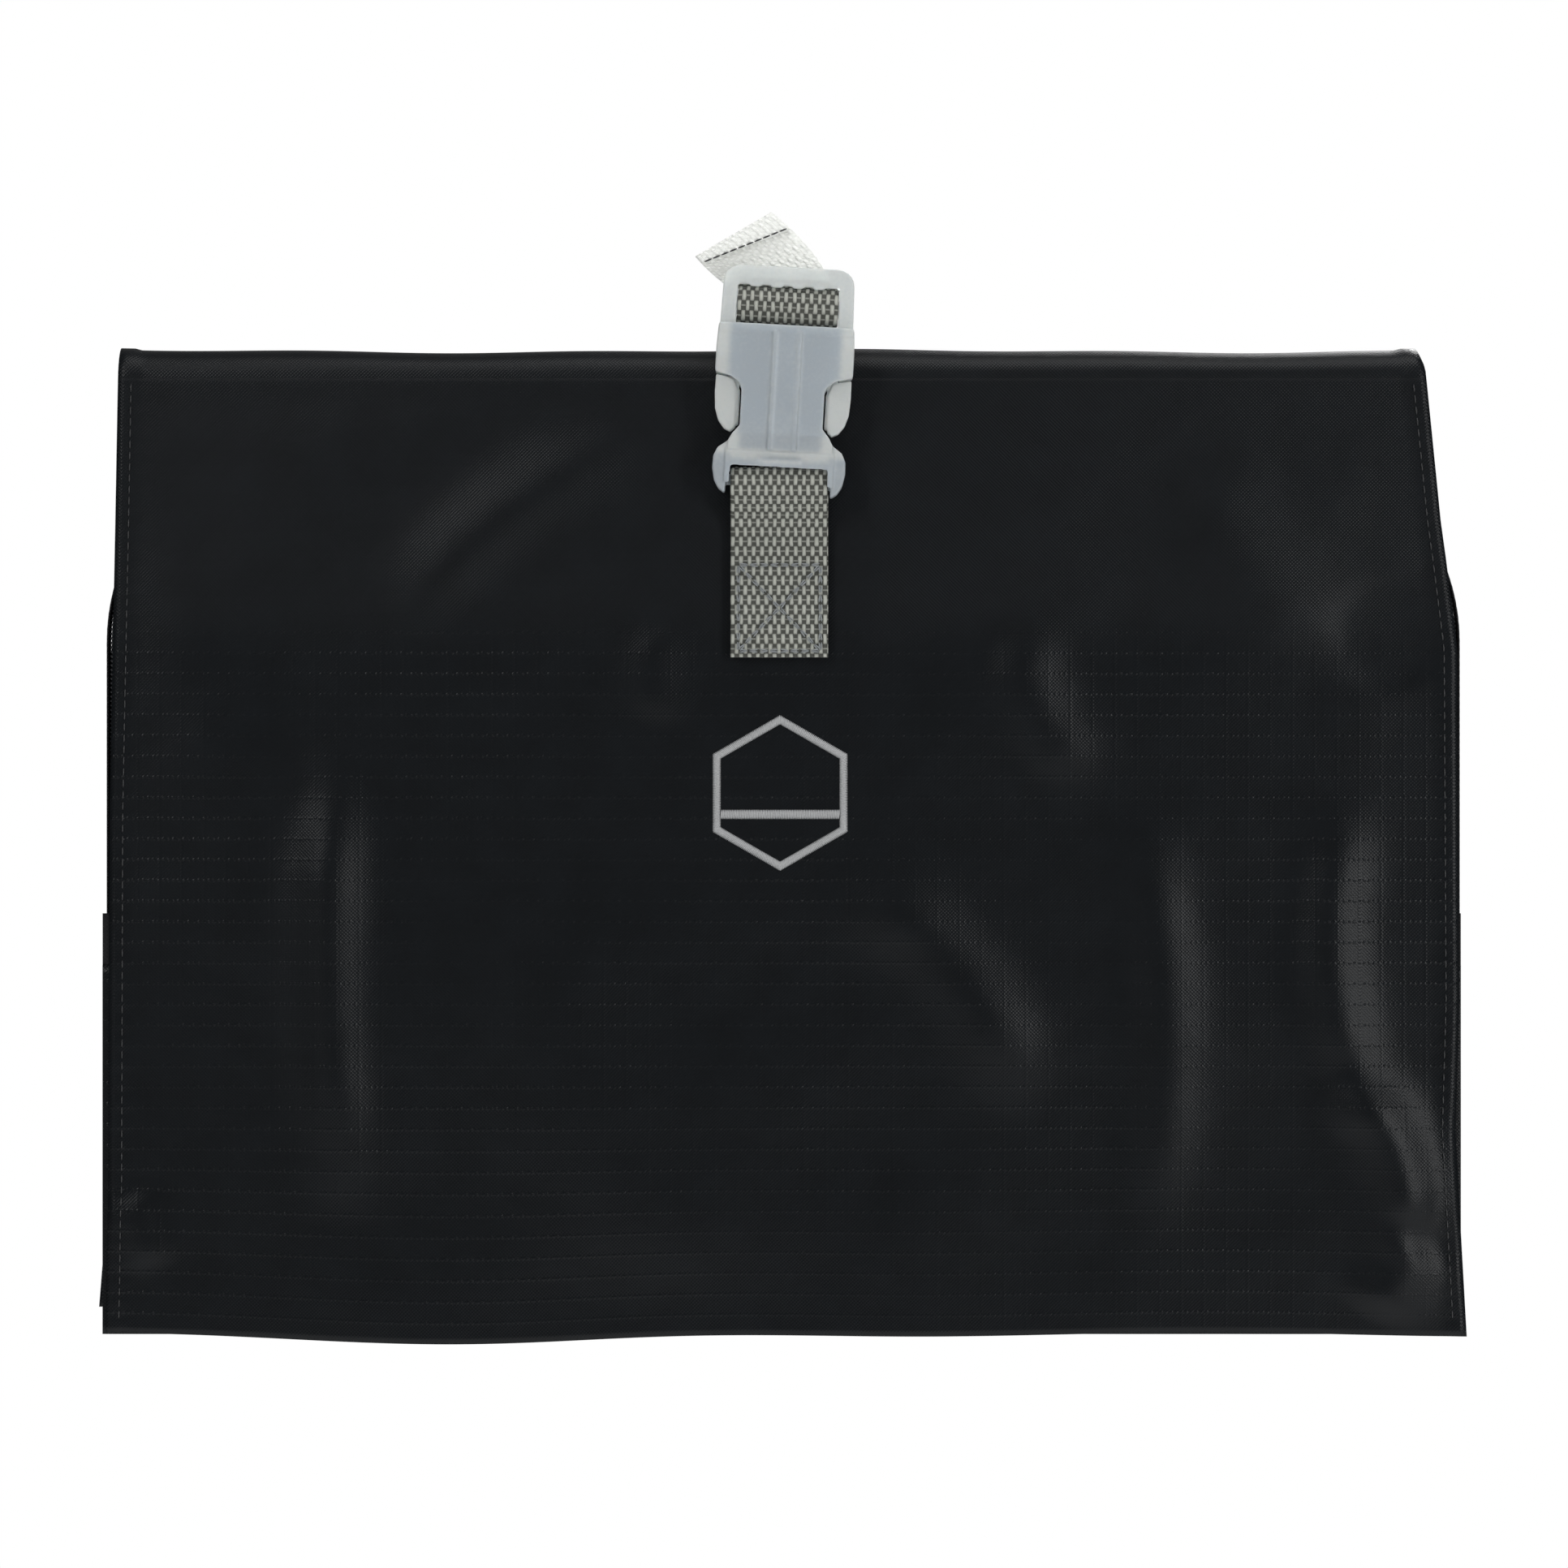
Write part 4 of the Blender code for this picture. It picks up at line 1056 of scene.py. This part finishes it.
def make_inner_panels():
    """The inner face of the front half, its liner and the mouth's panel."""
    rows = inset_rows(np.arange(14.2, 252.6, 2.4), 1.2, 1.4)
    panel_sheet("front_inner_cloth", rows, -4.35 * MM, 0.2, NYLON, "front_half",
                ("front_inner_panel",), 1, gather=1.5)
    rows = inset_rows(np.arange(14.6, 250, 3.0), 3.2, 3.4)
    panel_sheet("front_liner_cloth", rows, -5.7 * MM, 0.15, LINER, "front_half",
                ("front_liner",), 1, gather=0.75)
    levels = (*np.arange(21.3, 30, 0.8), *np.arange(30, 76, 2), *np.arange(76, 247, 2.4))
    rows = [(down, *mouth_edges(down, 1.2)) for down in levels]
    panel_sheet("mouth_panel_cloth", rows, 1.75 * MM, 0.2, NYLON, "back_half",
                ("mouth_panel",), -1)


def mouth_curve(inset, end, spacing):
    """Evenly spaced points (x, down) along the mouth's edge, in millimetres.

    Returns them with the line's direction and how far along it each one is.
    """
    left, right, radius = MOUTH_LEFT + inset, MOUTH_RIGHT - inset, MOUTH_RADIUS - inset
    points = [(left, end)]
    points += arc_points((left + radius, MOUTH_LEVEL), radius, 180, 270, 24)
    points += arc_points((right - radius, MOUTH_LEVEL), radius, 270, 360, 24)
    points = np.array(points + [(right, end)])
    length = distances(points)
    wanted = np.linspace(0, length[-1], int(length[-1] / spacing))
    place = np.stack([np.interp(wanted, length, points[:, k]) for k in range(2)], -1)
    return place, directions(place), wanted


def make_zip_coil(name, node_name, inset, y):
    """Interlocked coil turns round the mouth, each a short thread across the line."""
    end, pitch, half, slant = 147, 1.15, 1.15 * MM, 0.22 * MM
    place, tangent, _ = mouth_curve(inset, end, pitch)
    builder = bmesh.new()
    for (x, down), (tx, td) in zip(place, tangent):
        centre = Vector((x * MM, y * MM, FOLD_TOP - down * MM))
        reach = Vector((td, 0, tx)).normalized() * half + Vector((tx, 0, -td)) * slant
        add_stitch(builder, centre - reach, centre + reach, TO_FRONT, 0.46 * MM, 0.9)
    finish_piece(name, mesh_from(builder, name), COIL, "back_half", (node_name,))


def make_zip_band(name, node_name, inner, outer, low, high):
    """A closed band round the mouth between two insets and two depths, faintly ribbed."""
    end, section, rib, rib_pitch = 150, 12, 0.03, 2.0
    turn = np.linspace(0, TURN, section, endpoint=False)
    u = squared(np.cos(turn), 0.35) * (outer - inner) / 2
    v = squared(np.sin(turn), 0.35) * (high - low) / 2
    points, cloth = [], []
    for (x, down), (tx, td), along in zip(*mouth_curve((inner + outer) / 2, end, 1.0)):
        grow = 1 + rib * math.sin(TURN * along / rib_pitch)
        y, z = (low + high) / 2 + v * grow, FOLD_TOP / MM - (down + tx * u * grow)
        points.append(np.stack((x - td * u * grow, y, z), -1))
        cloth.append(np.stack((u + v, np.full(section, along)), -1))
    mesh = grid_mesh(name, np.array(points) * MM, np.array(cloth) * MM, closed_across=True)
    finish_piece(name, close_ends(mesh), TAPE, "back_half", (node_name,))


def make_zips():
    """Coils, tapes and the gusset round the mouth, and the sliders."""
    make_zip_coil("mouth_coil_turns", "mouth_zip_coil", 2.1, 0.1)
    make_zip_coil("liner_coil_turns", "liner_zip_coil", 23.2, 4.3)
    make_zip_band("mouth_gusset_tape", "mouth_gusset", 0.0, 0.6, -0.2, 6.6)
    make_zip_band("mouth_tape_band", "mouth_zip_tape", 3.6, 15.0, 0.5, 1.2)
    make_zip_band("liner_tape_band", "liner_zip_tape", 24.7, 34.0, 4.1, 4.7)
    for name, node_name, body in (
        ("mouth_slider_casting", "mouth_zip_slider", "mouth_slider"),
        ("mouth_pull_casting", "mouth_zip_pull", "mouth_pull"),
        ("liner_slider_casting", "liner_zip_slider", "liner_slider"),
    ):
        moulded(name, node_name, body, ENAMEL, voxel=0.16 * MM, rounds=3)


def make_sleeves():
    """Two flat sleeves and their gathered cuffs, which reach a little into the sleeves."""
    tucked = 0.7 * MM
    for side in ("left", "right"):
        low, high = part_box(f"sleeve_{side}")
        cuff_low, cuff_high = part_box(f"cuff_{side}")
        body = f"{side}_sleeve"
        sleeve_tube(f"sleeve_cloth_{side}", low, high, NYLON, body,
                    f"sleeve_{side}", wrinkle=0.18)
        cuff_low.z -= tucked
        sleeve_tube(f"cuff_knit_{side}", cuff_low, cuff_high, KNIT, body,
                    f"cuff_{side}", rib=0.35)


def sleeve_tube(name, low, high, finish, body, node_name, wrinkle=0.0, rib=0.0):
    """A flattened tube of cloth, open at both ends."""
    columns, row_step, rib_pitch, thickness = 150, 2.2 * MM, 2.6, 0.4 * MM
    turn = np.linspace(0, TURN, columns, endpoint=False)
    u, v = squared(np.cos(turn), 0.5), squared(np.sin(turn), 0.28)
    centre, half = (low + high) / 2, (high - low) / 2
    x = centre.x + u * half.x
    ribs = rib * (np.sin(x / MM * TURN / rib_pitch) - 1) * 0.5
    points, cloth = [], []
    for z in np.linspace(low.z, high.z, max(8, int((high.z - low.z) / row_step))):
        level = np.full(columns, (FOLD_TOP - z) / MM)
        out = swell(x / MM, level, height=wrinkle, seed=11, pitch=26) + ribs
        y = centre.y + v * (half.y - thickness + out * MM)
        points.append(np.stack((x, y, np.full(columns, z)), -1))
        cloth.append(np.stack((x + v * MM, np.full(columns, z)), -1))
    mesh = grid_mesh(name, np.array(points), np.array(cloth), closed_across=True)
    piece = finish_piece(name, mesh, finish, body, (node_name,))
    thicken(piece, thickness)


def make_remaining():
    """Finishes for the small frame pieces that stay as they are."""
    for finish, names in (
        (LINER, ("liner_back_wall", "liner_front_wall")),
        (TAPE, ("side_seam_left", "side_seam_right", "bottom_seam")),
        (ENAMEL, ("mouth_zip_stop_left", "mouth_zip_stop_right")),
    ):
        for name in names:
            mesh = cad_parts[name].data
            mesh.materials.clear()
            mesh.materials.append(finish)


# ---- scene

# Lamps, as name, place, target, width and height, and watts.
LAMPS = (
    ("key", (-0.62, -0.85, 0.45), (0, 0, -0.12), (0.25, 0.6), 4.5),
    ("fill", (0.85, -0.95, 0.0), (0, 0, -0.14), (0.2, 0.8), 6.5),
    ("top", (0.1, -0.25, 0.75), (0, 0, -0.1), (0.7, 0.25), 3.5),
    ("rear", (0.45, 0.8, 0.6), (0, 0, -0.05), (0.5, 0.5), 6.5),
)


def make_camera():
    """A level camera facing the emblem, with the bag where the frame has it."""
    centre = Vector((0.6 * MM, 0, FOLD_TOP - 111.7 * MM))
    width, distance, sensor = 402.5 * MM, 1.5, 36
    data = bpy.data.cameras.new("camera")
    data.sensor_width = sensor
    data.lens = sensor * (distance + FRONT_Y) / width
    camera = bpy.data.objects.new("camera", data)
    camera.location = centre + TO_FRONT * distance
    camera.rotation_euler = (math.radians(90), 0, 0)
    bpy.context.scene.collection.objects.link(camera)
    bpy.context.scene.camera = camera


def area_light(name, place, target, size, power):
    data = bpy.data.lights.new(name, "AREA")
    data.shape = "RECTANGLE"
    data.size, data.size_y = size
    data.energy = power
    light = bpy.data.objects.new(name, data)
    light.location = place
    aim = Vector(target) - Vector(place)
    light.rotation_euler = aim.to_track_quat("-Z", "Y").to_euler()
    bpy.context.scene.collection.objects.link(light)


def make_studio():
    """White surroundings, a pale floor and soft lamps."""
    world = bpy.data.worlds.new("studio")
    bpy.context.scene.world = world
    world.use_nodes = True
    tree = world.node_tree
    background = tree.nodes["Background"]
    background.inputs["Color"].default_value = (1, 1, 1, 1)
    seen = Value(tree, tree.nodes.new("ShaderNodeLightPath").outputs["Is Camera Ray"])
    tree.links.new(scaled(seen, SURROUND_LIGHT, 1.0).socket, background.inputs["Strength"])
    bpy.context.scene.view_settings.view_transform = "Standard"
    for lamp in LAMPS:
        area_light(*lamp)
    pale = Finish("pale_floor", (0.93, 0.93, 0.93), 0.9, Emission_Color=(1, 1, 1, 1),
                  Emission_Strength=0.6)
    bpy.ops.mesh.primitive_plane_add(size=5, location=(0, 0, FOLD_TOP - 0.75))
    floor = bpy.context.object
    floor.name = "floor"
    floor.data.materials.append(pale.made)


make_outer_cloth()
make_hem_stitches()
make_box_stitches("front", TO_FRONT)
make_box_stitches("back", TO_BACK)
make_emblem()
make_straps()
make_buckle()
make_inner_panels()
make_zips()
make_sleeves()
make_remaining()
make_camera()
make_studio()
